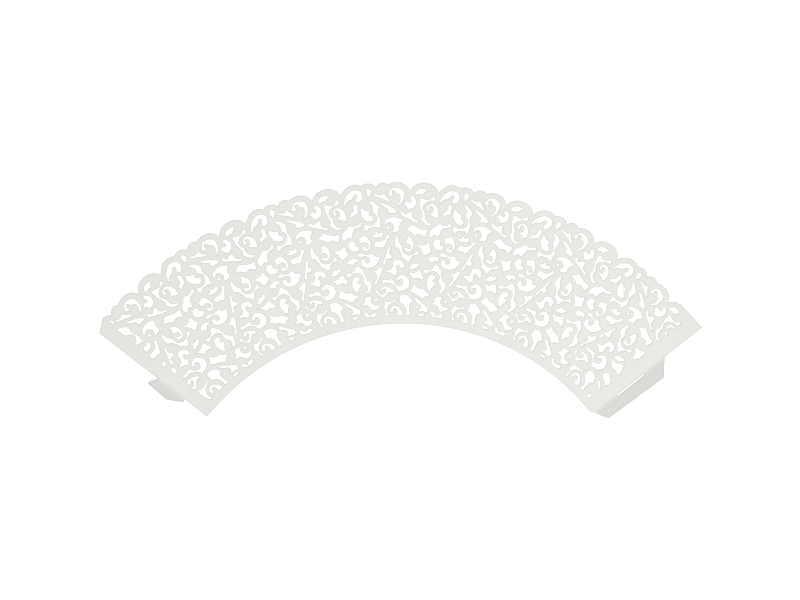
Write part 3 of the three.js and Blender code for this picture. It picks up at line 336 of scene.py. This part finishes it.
        [18.3, 6.9], [18.28, 5.9], [18.4, 4.4], [18.65, 3.1], [18.2, 2.9], [17.3, 3.2], [17.42, 4.1],
        [17.1, 5.4], [16, 6.75], [14.55, 7.6], [14.72, 8.6],
    ],
    "forked_leaf": [
        [8.15, 7.5], [8.5, 7.93], [9.2, 7.7], [11.2, 7.7], [12.25, 8.3], [12.88, 8.7, c], [12.6, 8],
        [11.4, 7.45], [9.9, 6.88], [9.2, 6.1], [8.7, 5.3], [8.55, 4.8], [8.75, 4], [9.3, 3.05],
        [8.88, 2.9], [8.42, 3.65], [8.22, 4.6], [8.15, 5.3], [7.5, 5.88], [7.95, 6.6],
    ],
    "base_hook": [
        [10.4, 4.72], [10.93, 5.62], [12, 6.13], [13.1, 5.88], [14.3, 5.15], [15.1, 4.15], [15.5, 3.2],
        [15.3, 2.95], [14.2, 2.83], [13.42, 3.1], [13.6, 4.3], [13, 5.25], [12, 5.47], [11.3, 5.1],
        [11.25, 4.2], [10.95, 3.88], [10.52, 4.12],
    ],
    "arrow": [
        [20.38, 9.28, c], [21.4, 8.8], [22.6, 8], [24.2, 6.97], [26, 5.85], [26.3, 5.4], [26.15, 4.65],
        [25.8, 4.38], [24.3, 4.7], [22.1, 4.6, c], [23.4, 5.35], [23.58, 6.3], [22.95, 7.1], [21.3, 7.88],
        [20.9, 8.5],
    ],
    "base_dash": [[22.25, 3.28], [23.3, 3.52], [24.4, 3.46], [25.1, 3.2], [24.6, 2.96], [23.2, 2.95]],
    "manta": [
        [20, 14.12, c], [21, 13.08], [22.2, 12.47], [23.1, 12.27], [23.7, 12.47], [24.2, 12.05],
        [25.2, 11.3], [26.1, 10.7], [26, 10.35], [24.9, 10.1], [23.7, 9.25], [22.5, 10], [21.2, 10.6],
        [19.1, 11.5], [18.82, 11.95], [19.5, 12.7],
    ],
}

# In the first and the last repeat these cuts are added or drawn anew, and empty ones are left out
LEFT_END_CUTS = {
    "bead": [
        [5.45, 48.25, c], [6, 47.85], [6.27, 47.2], [6.2, 46.5], [5.95, 46, c], [5.72, 46.6],
        [5.78, 47.2], [5.65, 47.8],
    ],
    "sail": [
        [5.2, 44.05, c], [6.2, 43.6], [6.9, 43], [7.5, 42.25], [7.8, 41.5], [7.55, 40.65], [7.3, 39, c],
        [6.5, 39.85], [5.5, 40.55, c], [5.35, 42.3],
    ],
    "butterfly": [
        [7.45, 38.3, c], [7.1, 37.1], [6.4, 36.2], [5.3, 35.55, c], [6.3, 35.2], [7.1, 34.95],
        [7.8, 34.4, c], [7.85, 36.1], [8.05, 36.7], [7.75, 37.8],
    ],
    "bat": [
        [5.75, 31.45, c], [6, 32.1], [6.45, 32.85], [6.85, 32.8], [7.2, 32.4], [7.6, 32.4], [8.1, 32.95],
        [8.45, 32.9], [8.65, 32.3], [8.35, 31.6], [7.4, 31.2], [6.5, 31.2],
    ],
    "anvil": [
        [5.38, 28.2], [5.42, 29.1], [5.75, 29.52, c], [8.1, 29.47], [9.2, 30.05], [9.75, 30.6],
        [10.15, 31.6], [10.45, 31.68], [10.77, 31.2], [9.85, 29.7], [8.95, 27.9], [8.65, 27.42, c],
        [8, 27.47], [7.4, 27.78], [5.7, 27.73, c],
    ],
    "end_wedge": [[6.1, 24.25], [7.3, 24.15, c], [6.9, 23.4], [6.4, 22.55, c], [6.1, 22.9], [6.02, 23.6]],
    "lance": [
        [6.5, 19.9], [6.9, 20.4], [7.45, 20.4], [7.9, 19.8], [7.6, 19.1], [7.1, 18.4], [6.7, 17.9, c],
        [6.55, 19],
    ],
    "drop": [],
    "ring": [],
    "forked_leaf": [
        [7.05, 8.2, c], [8.3, 7.85], [9.2, 7.7], [11.2, 7.7], [12.25, 8.3], [12.88, 8.7, c], [12.6, 8],
        [11.4, 7.45], [9.9, 6.88], [9.1, 6.1], [8.6, 5.2], [8.55, 4.3], [8.9, 3, c], [7.85, 3.05, c],
        [7.4, 4.5], [7.12, 6.3],
    ],
}
RIGHT_END_CUTS = {
    "top_spiral": [
        [24.95, 42.8, c], [24.3, 43], [23.7, 42.85], [23.15, 42.35], [22.95, 41.6], [23.15, 40.95],
        [23.4, 40.7], [23.6, 41.1], [23.42, 41.8], [23.6, 42.3], [24.1, 42.5],
    ],
    "spiral_foot": [[23.65, 39.4], [24.25, 39.75], [24.85, 39.3], [24.4, 38.85]],
    "right_crescent": [],
    "boot": [],
    "heart": [],
    "mitten": [],
    "bean": [],
    "hook_star": [],
    "star": [
        [20.62, 28.18, c], [22, 27.95], [23.05, 28.15], [23.6, 28.52], [24.37, 29.3, c], [24.65, 28],
        [24.5, 25.7, c], [23.9, 24.8], [23.4, 24.15, c], [22.9, 25], [22.5, 25.85], [21.95, 26.8],
        [21.3, 27.5],
    ],
    "small_whale": [],
    "fish_tail": [],
    "great_curl": [],
    "ray": [
        [16.7, 18.7, c], [18, 18.55], [19.6, 18.5], [21, 19], [22.2, 19.7], [22.9, 19.9], [23.3, 19],
        [24, 17.6], [24.25, 16.75], [23.8, 16.4], [22.6, 16.75], [21.5, 16.9], [20.4, 16.6], [19.6, 17.3],
        [18.4, 18.1],
    ],
    "swallow": [],
    "notched_bean": [],
    "boat": [],
    "base_wave": [],
    "arrow": [
        [20.35, 10, c], [21.2, 9.6], [22.4, 8.95], [23.3, 8.3], [23.5, 7.75], [22.9, 7.8], [21.6, 8.55],
        [20.8, 9.15],
    ],
    "base_dash": [
        [21.85, 2.95], [22.1, 3.6], [22.8, 4.1], [23.35, 4.05], [23.25, 3.5], [22.65, 2.95],
        [22.15, 2.75],
    ],
    "manta": [
        [21, 14.4, c], [21.6, 13.8], [22.8, 13.3], [23.7, 12.95], [24.3, 12.4], [24.2, 11.3],
        [24, 10.2, c], [23.3, 10.5], [22.4, 11.2], [21.2, 11.6], [20.2, 12], [19.7, 12.45], [20.3, 13.3],
    ],
}

# Cuts that run into each other through a narrow channel between their tips
JOINED_CUTS = [
    ("sail", "butterfly"), ("drop", "elephant"), ("club", "ram_horn"), ("fish_tail", "great_curl"),
    ("tadpole", "long_twist"),
]

# Where the arcs of the scalloped edge begin, each with its height over the chord to the next. The last
# scallop rises in two arcs, and the last entry is where the next repeat starts.
SCALLOPS = [
    [3.25, 49.8, 1.2],
    [7.42, 48.8, 1.2],
    [10.95, 49.7, 2],
    [17.4, 47.2, 3.3],
    [26, 47.35, 0.17],
    [27.9, 49.8, 0.8],
    [32.333, 49.8, 0],
]
DRAWN_BASE = -0.25
DRAWN_CREST = 50.5

drawn_repeat = SCALLOPS[-1][0] - SCALLOPS[0][0]
base_radius = WALL_HEIGHT * BASE_DIAMETER / (TOP_DIAMETER - BASE_DIAMETER)
crest_radius = base_radius + WALL_HEIGHT
sector_angle = math.pi * BASE_DIAMETER / base_radius
left_end = -sector_angle / 2
right_end = sector_angle / 2
angle_per_drawn = sector_angle / (REPEATS * drawn_repeat)
radius_per_drawn = WALL_HEIGHT / (DRAWN_CREST - DRAWN_BASE)

right_corner_radius = crest_radius + RIGHT_CORNER_RISE
slit_base = base_radius + SLIT_ABOVE_BASE
slit_top = slit_base + SLIT_LENGTH
flap_top = right_corner_radius - FLAP_TOP_GAP
flap_base = base_radius + FLAP_BASE_GAP
tongue_base = slit_base - TONGUE_BELOW_SLIT
tongue_top = tongue_base + SLIT_LENGTH - SLIT_CLEARANCE


# The flat sheet

def polar(radius, angle):
    return np.array([radius * math.sin(angle), radius * math.cos(angle)])


def place_drawn(point, repeat):
    """A drawn point of one repeat, on the flat sheet."""
    along = point[0] - FIRST_REPEAT_OFFSET + repeat * drawn_repeat
    return polar(base_radius + (point[1] - DRAWN_BASE) * radius_per_drawn, left_end + along * angle_per_drawn)


def smooth_stretch(points, closed):
    """Points on a centripetal spline through the given ones, without its last point."""
    points = [np.array(p[:2], float) for p in points]
    count = len(points)
    spans = count if closed else count - 1
    made = []
    for i in range(spans):
        p1, p2 = points[i], points[(i + 1) % count]
        p0 = points[i - 1] if closed or i > 0 else 2 * p1 - p2
        p3 = points[(i + 2) % count] if closed or i + 2 < count else 2 * p2 - p1
        d0, d1, d2 = (math.sqrt(math.dist(a, b)) for a, b in ((p0, p1), (p1, p2), (p2, p3)))
        t1 = d1 * ((p1 - p0) / d0 - (p2 - p0) / (d0 + d1) + (p2 - p1) / d1)
        t2 = d1 * ((p2 - p1) / d1 - (p3 - p1) / (d1 + d2) + (p3 - p2) / d2)
        for k in range(SAMPLES_PER_SPAN):
            t = k / SAMPLES_PER_SPAN
            made.append(p1 + t1 * t + (3 * (p2 - p1) - 2 * t1 - t2) * t**2 + (2 * (p1 - p2) + t1 + t2) * t**3)
    return made


def thinned(points, tolerance):
    """The fewest of a stretch's points that follow it within a tolerance."""
    start, end = points[0], points[-1]
    chord = end - start
    length = math.hypot(*chord)
    offsets = [p - start for p in points]
    if length > 0:
        distances = [abs(o[0] * chord[1] - o[1] * chord[0]) / length for o in offsets]
    else:
        distances = [math.hypot(*o) for o in offsets]
    furthest = int(np.argmax(distances))
    if distances[furthest] <= tolerance:
        return [start, end]
    return thinned(points[:furthest + 1], tolerance) + thinned(points[furthest:], tolerance)[1:]


def stretches_of(outline):
    """The stretches of an outline between its sharp corners."""
    corners = [i for i, point in enumerate(outline) if len(point) > 2]
    if not corners:
        return None
    turned = outline[corners[0]:] + outline[:corners[0] + 1]
    stretches = []
    stretch = [turned[0]]
    for point in turned[1:]:
        stretch.append(point)
        if len(point) > 2:
            stretches.append(stretch)
            stretch = [point]
    return stretches


def cut_outline(outline):
    """The whole outline of a drawn cut, burnt away a little outside its line."""
    stretches = stretches_of(outline)
    if stretches is None:
        points = smooth_stretch(outline, True)
        return burn(thinned(points + points[:1], CURVE_TOLERANCE)[:-1])
    made = []
    for stretch in stretches:
        points = smooth_stretch(stretch, False) + [np.array(stretch[-1][:2], float)]
        made += thinned(points, CURVE_TOLERANCE)[:-1]
    return burn(made)


def doubled_area(points):
    """Twice the area inside an outline, positive when it runs counterclockwise."""
    x, y = np.array(points).T
    return float(x @ np.roll(y, -1) - y @ np.roll(x, -1))


def burn(points):
    """A cut's outline, moved outward by the width that the laser burns away."""
    outward = math.copysign(BURNT_WIDTH, doubled_area(points))
    moved = []
    for before, point, after in zip(points[-1:] + points[:-1], points, points[1:] + points[:1]):
        along = (point - before) / math.dist(point, before) + (after - point) / math.dist(after, point)
        moved.append(point + outward * np.array([along[1], -along[0]]) / math.hypot(*along))
    return moved


def clockwise(points):
    return points if doubled_area(points) < 0 else points[::-1]


def joined(first, second):
    """One outline from two, with a channel between the tips that lie nearest to each other."""
    first = clockwise(first)
    second = clockwise(second)
    _, i, j = min((math.dist(p, q), i, j) for i, p in enumerate(first) for j, q in enumerate(second))
    run = second[j] - first[i]
    side = np.array([-run[1], run[0]]) / math.hypot(*run) * CHANNEL_WIDTH / 2
    outline = first[i + 1:] + first[:i] + [first[i] + side, second[j] + side]
    return outline + second[j + 1:] + second[:j] + [second[j] - side, first[i] - side]


def scallop_arc(notch, following):
    """The arc of one scallop as drawn, without its last point."""
    start = np.array(notch[:2], float)
    chord = np.array(following[:2]) - start
    half = math.hypot(*chord) / 2
    height = notch[2]
    radius = (half**2 + height**2) / (2 * height)
    inward = np.array([chord[1], -chord[0]]) / (2 * half)
    middle = start + chord / 2 + inward * (radius - height)
    first = math.atan2(start[1] - middle[1], start[0] - middle[0])
    sweep = 2 * math.atan2(half, radius - height)
    steps = max(FEWEST_ARC_STEPS, math.ceil(sweep / (2 * math.acos(1 - CURVE_TOLERANCE / radius))))
    turns = [first - sweep * i / steps for i in range(steps)]
    return [middle + radius * np.array([math.cos(turn), math.sin(turn)]) for turn in turns]


class End:
    """One end of the sheet: its directions up along the end, and outward from it."""

    def __init__(self, angle, side):
        self.along = polar(1, angle)
        self.out = np.array([side * math.cos(angle), -side * math.sin(angle)])

    def point(self, radius, out):
        return self.along * radius + self.out * out


RIGHT = End(right_end, 1)
LEFT = End(left_end, -1)


def sheet_edge():
    """The whole sheet's edge with its tongue and flap, clockwise from its lower left corner."""
    tip_radius = tongue_top - TONGUE_TIP_FROM_TOP
    tongue = [
        (0, tongue_base),
        (TONGUE_SHOULDER_LENGTH, tongue_base - TONGUE_SHOULDER),
        (TONGUE_LENGTH, tip_radius),
        (TONGUE_BARB_LENGTH, tongue_top + TONGUE_BARB),
        (TONGUE_CORNER[0], tongue_top + TONGUE_CORNER[1]),
        (0, tongue_top),
    ]
    flap = [
        (0, flap_top),
        (FLAP_WIDTH_TOP, flap_top - FLAP_SLANT_TOP),
        (FLAP_WIDTH_BASE, flap_base + FLAP_SLANT_BASE),
        (0, flap_base),
    ]
    row = []
    for notch, following in zip(SCALLOPS, SCALLOPS[1:]):
        row += scallop_arc(notch, following)
    scallops = [place_drawn(p, repeat) for repeat in range(REPEATS) for p in row]
    first = left_end + LEFT_CORNER_RUN / crest_radius
    last = right_end - PLAIN_EDGE_RUN / crest_radius
    scallops = [p for p in scallops if first < math.atan2(p[0], p[1]) < last]
    base_end = right_end - RIGHT_BASE_CUT / base_radius
    base_run = base_end - left_end
    base_steps = math.ceil(base_run / (2 * math.acos(1 - CURVE_TOLERANCE / base_radius)))
    base = [polar(base_radius, base_end - base_run * i / base_steps) for i in range(base_steps)]
    return [
        polar(base_radius, left_end),
        *[LEFT.point(radius, out) for out, radius in tongue],
        polar(crest_radius - LEFT_CORNER_DROP, left_end),
        *scallops,
        polar(right_corner_radius, right_end),
        *[RIGHT.point(radius, out) for out, radius in flap],
        *base,
    ]


def lace_cuts():
    """The outlines of all the cuts on the flat sheet."""
    cuts = []
    for repeat in range(REPEATS):
        drawn = dict(CUTS)
        if repeat == 0:
            drawn.update(LEFT_END_CUTS)
        if repeat == REPEATS - 1:
            drawn.update(RIGHT_END_CUTS)
        outlines = {name: cut_outline(outline) for name, outline in drawn.items() if outline}
        for first, second in JOINED_CUTS:
            if first in outlines and second in outlines:
                outlines[first] = joined(outlines[first], outlines.pop(second))
        cuts += [[place_drawn(p, repeat) for p in outline] for outline in outlines.values()]
    return cuts


def slit_outline():
    """The slit in the flap's fold, with round ends."""
    half = SLIT_WIDTH / 2
    turns = [math.pi * i / SLIT_END_STEPS for i in range(SLIT_END_STEPS + 1)]
    top = [(slit_top - half + half * math.sin(t), half - half * math.cos(t)) for t in turns]
    base = [(slit_base + half - half * math.sin(t), half + half * math.cos(t)) for t in turns]
    return [RIGHT.point(radius, out) for radius, out in top + base]


# The bends

def bend_table(slopes):
    """For steps of distance along the card: how far out and how high it comes, and its slope there."""
    steps = np.linspace(0, slopes[-1][0], BEND_TABLE_ROWS)
    slope = np.radians(np.interp(steps, [s for s, _ in slopes], [a for _, a in slopes]))
    middle = (slope[1:] + slope[:-1]) / 2
    run = np.diff(steps)
    out = np.concatenate([[0], np.cumsum(run * np.cos(middle))])
    up = np.concatenate([[0], np.cumsum(run * np.sin(middle))])
    return steps, out, up, slope


# Each with its end of the sheet, its root, from where to where it runs up along the end, and its table
BENDS = [
    (RIGHT, FLAP_ROOT, flap_base, flap_top, bend_table(FLAP_SLOPES)),
    (LEFT, TONGUE_ROOT, tongue_base, tongue_top, bend_table(TONGUE_SLOPES)),
]


def bent(point, above):
    """A point of the flat sheet at a height within the card, once the flap and the tongue are bent."""
    for end, root, low, high, (steps, outs, ups, slopes) in BENDS:
        radius = float(point @ end.along)
        out = float(point @ end.out)
        if out < END_MARGIN:
            # On the sheet itself the bend fades away beside the flap or the tongue
            share = max(0, 1 - max(low - radius, radius - high, 0) / ROOT_FADE)
            root *= share**2 * (3 - 2 * share)
        if out + root > 0:
            bent_out, up, slope = (
                float(np.interp(out + root, steps, values)) for values in (outs, ups, slopes))
            lift = above - CARD_THICKNESS / 2
            flat = end.point(radius, bent_out - root - lift * math.sin(slope))
            height = CARD_THICKNESS / 2 + up + lift * math.cos(slope)
            return (flat[0] + CENTRE[0], flat[1] + CENTRE[1], height)
    return (point[0] + CENTRE[0], point[1] + CENTRE[1], above)


def bend_lines():
    """Lines along and across the bends, so that they have facets."""
    lines = []
    for end, root, low, high, table in BENDS:
        low -= ROOT_FADE
        high += ROOT_FADE + TONGUE_BARB
        for out in np.arange(BEND_STEP, table[0][-1], BEND_STEP) - root:
            lines.append((end.point(low, out), end.point(high, out)))
        for radius in np.arange(low, high, ROOT_STEP):
            lines.append((end.point(radius, -root), end.point(radius, BEND_STEP)))
    return lines


# The card's mesh

def flat_mesh():
    """Points and triangles of the flat sheet, with the cuts left out."""
    loops = [sheet_edge(), slit_outline(), *lace_cuts()]
    points = []
    edges = []
    for loop in loops:
        first = len(points)
        points += loop
        edges += [(first + i, first + (i + 1) % len(loop)) for i in range(len(loop))]
    outline_edges = len(edges)
    for start, stop in bend_lines():
        edges.append((len(points), len(points) + 1))
        points += [start, stop]
    verts, made_edges, faces, _, edge_from, _ = delaunay_2d_cdt(
        [Vector(p) for p in points], edges, [], 0, SAME_POINT)
    border = {
        tuple(sorted(edge)) for edge, came in zip(made_edges, edge_from)
        if any(i < outline_edges for i in came)
    }
    return [np.array(v) for v in verts], inside_faces(faces, border)


def inside_faces(faces, border):
    """The faces inside the sheet: each step over a border edge goes from outside in or from inside out."""
    sides = {}
    for n, face in enumerate(faces):
        for i in range(3):
            sides.setdefault(tuple(sorted((face[i], face[(i + 1) % 3]))), []).append(n)
    inside = {}
    hull = [(edge, near[0]) for edge, near in sides.items() if len(near) == 1]
    queue = []
    for edge, n in hull:
        inside[n] = edge in border
        queue.append(n)
    while queue:
        n = queue.pop()
        face = faces[n]
        for i in range(3):
            edge = tuple(sorted((face[i], face[(i + 1) % 3])))
            for m in sides[edge]:
                if m not in inside:
                    inside[m] = inside[n] != (edge in border)
                    queue.append(m)
    return [tuple(face) for n, face in enumerate(faces) if inside[n]]


def inward_at_borders(points, faces):
    """Border edges in the order of their face, and at each border point the way into the card."""
    directed = {(f[i], f[(i + 1) % 3]) for f in faces for i in range(3)}
    border = [edge for edge in directed if (edge[1], edge[0]) not in directed]
    inward = {}
    for a, b in border:
        along = points[b] - points[a]
        left = np.array([-along[1], along[0]]) / math.hypot(*along)
        for p in (a, b):
            inward.setdefault(p, []).append(left)
    offsets = {}
    for p, normals in inward.items():
        mean = sum(normals) / len(normals)
        length = math.hypot(*mean)
        offsets[p] = mean / max(length, SHORTEST_MEAN) ** 2 if length > 0 else mean
    return sorted(border), offsets


def facing_up(points, face):
    """The same face, with its corners in the order that makes it look up."""
    start = points[face[0]]
    one = points[face[1]] - start
    other = points[face[2]] - start
    return face if one[0] * other[1] - one[1] * other[0] > 0 else face[::-1]


def build_sheet():
    """The card: its flat outline with a thickness, a worn upper edge and the bends at both ends."""
    points, faces = flat_mesh()
    faces = [facing_up(points, face) for face in faces]
    used = sorted({i for f in faces for i in f})
    border, offsets = inward_at_borders(points, faces)
    low, high, rim = {}, {}, {}
    verts = []
    for i in used:
        low[i] = len(verts)
        verts.append(bent(points[i], 0))
        inset = points[i] + offsets[i] * EDGE_BEVEL if i in offsets else points[i]
        high[i] = len(verts)
        verts.append(bent(inset, CARD_THICKNESS))
        if i in offsets:
            rim[i] = len(verts)
            verts.append(bent(points[i], CARD_THICKNESS - EDGE_BEVEL))
    polygons = [tuple(high[i] for i in f) for f in faces]
    polygons += [tuple(low[i] for i in reversed(f)) for f in faces]
    faces_of_card = len(polygons)
    polygons += [(rim[a], rim[b], high[b], high[a]) for a, b in border]
    polygons += [(low[a], low[b], rim[b], rim[a]) for a, b in border]
    mesh = bpy.data.meshes.new("lace_card")
    mesh.from_pydata([tuple(x * MM for x in v) for v in verts], [], polygons)
    materials = [card_material(), cut_edge_material()]
    for material in materials:
        mesh.materials.append(material)
    mesh.polygons.foreach_set("material_index", [int(n >= faces_of_card) for n in range(len(polygons))])
    mesh.polygons.foreach_set("use_smooth", [True] * len(polygons))
    mesh.set_sharp_from_angle(angle=math.radians(SHARP_TURN))
    mesh.validate()
    sheet = bpy.data.objects.new("lace_card", mesh)
    bpy.context.scene.collection.objects.link(sheet)
    return sheet


# Materials

# How fine the clouds, fibres and grain of the card are, per metre, and the stops of their tones
CLOUD_SCALE = 45
FIBRE_SCALE = 2600
GRAIN_SCALE = 1400
EDGE_SCALE = 900
CLOUD_STOPS = [(0.3, (0.73, 0.737, 0.7)), (0.7, (0.75, 0.758, 0.72))]
FIBRE_STOPS = [(0.35, (0.955, 0.955, 0.955)), (0.65, (1, 1, 1))]
# The edge band's stops: darker towards the cut edges, partly laser scorch and partly painted shade
SCORCH_AND_SHADE_STOPS = [(0.002, (1, 1, 1)), (0.06, (0.955, 0.955, 0.945)), (0.3, (0.87, 0.87, 0.86))]
# The cut walls are painted darker: partly laser burn, partly painted shade along the cuts
CUT_EDGE_STOPS = [(0.3, (0.5, 0.5, 0.48)), (0.7, (0.58, 0.58, 0.56))]

BEVEL_SAMPLES = 8

# The sockets of a node that mixes two colours
MIX_SHARE, MIX_FIRST, MIX_SECOND = 0, 6, 7
MIX_RESULT = 2


def new_material(name):
    material = bpy.data.materials.new(name)
    material.use_nodes = True
    nodes = material.node_tree.nodes
    return material, nodes, material.node_tree.links, nodes["Principled BSDF"]


def set_inputs(node, values):
    for name, value in values.items():
        node.inputs[name].default_value = value


def noise(nodes, links, coordinates, scale, detail):
    node = nodes.new("ShaderNodeTexNoise")
    set_inputs(node, {"Scale": scale, "Detail": detail})
    links.new(coordinates, node.inputs["Vector"])
    return node.outputs["Fac"]


def ramp(nodes, links, value, stops):
    node = nodes.new("ShaderNodeValToRGB")
    elements = node.color_ramp.elements
    while len(elements) < len(stops):
        elements.new(1)
    for element, (position, colour) in zip(elements, stops):
        element.position = position
        element.color = (*colour, 1)
    links.new(value, node.inputs["Fac"])
    return node.outputs["Color"]


def product(nodes, links, first, second):
    """Two colours multiplied by each other."""
    node = nodes.new("ShaderNodeMix")
    node.data_type = "RGBA"
    node.blend_type = "MULTIPLY"
    node.inputs[MIX_SHARE].default_value = 1
    links.new(first, node.inputs[MIX_FIRST])
    links.new(second, node.inputs[MIX_SECOND])
    return node.outputs[MIX_RESULT]


def edge_nearness(nodes, links):
    """Rises towards the cut edges, where the rounded normal turns away from the card's face."""
    rounded = nodes.new("ShaderNodeBevel")
    rounded.samples = BEVEL_SAMPLES
    rounded.inputs["Radius"].default_value = EDGE_BAND * MM
    face = nodes.new("ShaderNodeNewGeometry")
    dot = nodes.new("ShaderNodeVectorMath")
    dot.operation = "DOT_PRODUCT"
    links.new(rounded.outputs["Normal"], dot.inputs[0])
    links.new(face.outputs["Normal"], dot.inputs[1])
    turned = nodes.new("ShaderNodeMath")
    turned.operation = "SUBTRACT"
    turned.inputs[0].default_value = 1
    links.new(dot.outputs["Value"], turned.inputs[1])
    return turned.outputs[0]


def card_material():
    material, nodes, links, shader = new_material("pearl_card")
    place = nodes.new("ShaderNodeTexCoord").outputs["Object"]
    cloud = ramp(nodes, links, noise(nodes, links, place, CLOUD_SCALE, detail=3), CLOUD_STOPS)
    fibre = ramp(nodes, links, noise(nodes, links, place, FIBRE_SCALE, detail=4), FIBRE_STOPS)
    # Darker towards the cut edges: partly laser scorch, partly painted shade along the cuts
    scorch_and_shade = ramp(nodes, links, edge_nearness(nodes, links), SCORCH_AND_SHADE_STOPS)
    plain = product(nodes, links, cloud, fibre)
    links.new(product(nodes, links, plain, scorch_and_shade), shader.inputs["Base Color"])
    set_inputs(shader, {"Roughness": 0.5, "Specular IOR Level": 0.35, "Sheen Weight": 0.08})
    bump = nodes.new("ShaderNodeBump")
    set_inputs(bump, {"Strength": 0.25, "Distance": 0.00003})
    links.new(noise(nodes, links, place, GRAIN_SCALE, detail=5), bump.inputs["Height"])
    links.new(bump.outputs["Normal"], shader.inputs["Normal"])
    return material


def cut_edge_material():
    material, nodes, links, shader = new_material("cut_edge")
    place = nodes.new("ShaderNodeTexCoord").outputs["Object"]
    # Darker tone of the cut walls: partly laser burn, partly painted shade
    tone = ramp(nodes, links, noise(nodes, links, place, EDGE_SCALE, detail=3), CUT_EDGE_STOPS)
    links.new(tone, shader.inputs["Base Color"])
    shader.inputs["Roughness"].default_value = 0.8
    return material


def floor_material():
    material, nodes, links, shader = new_material("studio_floor")
    set_inputs(shader, {
        "Base Color": (0.93, 0.93, 0.93, 1), "Roughness": 0.9,
        "Emission Color": (1, 1, 1, 1), "Emission Strength": 0.28,
    })
    return material


# The studio, in metres

FLOOR_REACH = 3
FLOOR_HEIGHT = -0.0002
WORLD_STRENGTH = 0.3

# The photograph's camera: its place in millimetres, which way it looks and which way is right, its focal
# length in pixels of a picture this wide, and the width of its sensor in millimetres
CAMERA_PLACE = (-47.39, 63.8, 536.55)
CAMERA_FORWARD = (0.08328, -0.11687, -0.98965)
CAMERA_RIGHT = (0.99653, 0.01013, 0.08266)
FOCAL_LENGTH = 1506.6
PICTURE_WIDTH = 800
SENSOR_WIDTH = 36
NEAREST_SEEN = 0.01


def build_floor():
    mesh = bpy.data.meshes.new("studio_floor")
    corners = [(-1, -1), (1, -1), (1, 1), (-1, 1)]
    verts = [(x * FLOOR_REACH, y * FLOOR_REACH, FLOOR_HEIGHT) for x, y in corners]
    mesh.from_pydata(verts, [], [(0, 1, 2, 3)])
    mesh.materials.append(floor_material())
    floor = bpy.data.objects.new("studio_floor", mesh)
    bpy.context.scene.collection.objects.link(floor)


def area_light(name, place, aim, size, power):
    data = bpy.data.lights.new(name, "AREA")
    data.shape = "SQUARE"
    data.size = size
    data.energy = power
    lamp = bpy.data.objects.new(name, data)
    lamp.location = place
    lamp.rotation_euler = (Vector(aim) - Vector(place)).to_track_quat("-Z", "Y").to_euler()
    bpy.context.scene.collection.objects.link(lamp)


def build_light():
    area_light("softbox", place=(0.1, -0.08, 0.95), aim=(0.01, 0, 0), size=0.7, power=8.2)
    world = bpy.data.worlds.new("studio")
    world.use_nodes = True
    set_inputs(world.node_tree.nodes["Background"], {"Color": (1, 1, 1, 1), "Strength": WORLD_STRENGTH})
    bpy.context.scene.world = world


def build_camera():
    """The photograph's view: nearly straight down, from a little beyond the scalloped edge."""
    place = Vector(CAMERA_PLACE) * MM
    forward = Vector(CAMERA_FORWARD).normalized()
    right = Vector(CAMERA_RIGHT)
    right = (right - forward * right.dot(forward)).normalized()
    up = right.cross(forward)
    data = bpy.data.cameras.new("camera")
    data.sensor_width = SENSOR_WIDTH
    data.lens = FOCAL_LENGTH / PICTURE_WIDTH * SENSOR_WIDTH
    data.clip_start = NEAREST_SEEN
    camera = bpy.data.objects.new("camera", data)
    turn = Matrix((right, up, -forward)).transposed().to_4x4()
    camera.matrix_world = Matrix.Translation(place) @ turn
    bpy.context.scene.collection.objects.link(camera)
    bpy.context.scene.camera = camera


sheet = build_sheet()
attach(sheet, "root")
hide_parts("lace_sheet")
build_floor()
build_light()
build_camera()
bpy.context.scene.view_settings.view_transform = "Standard"
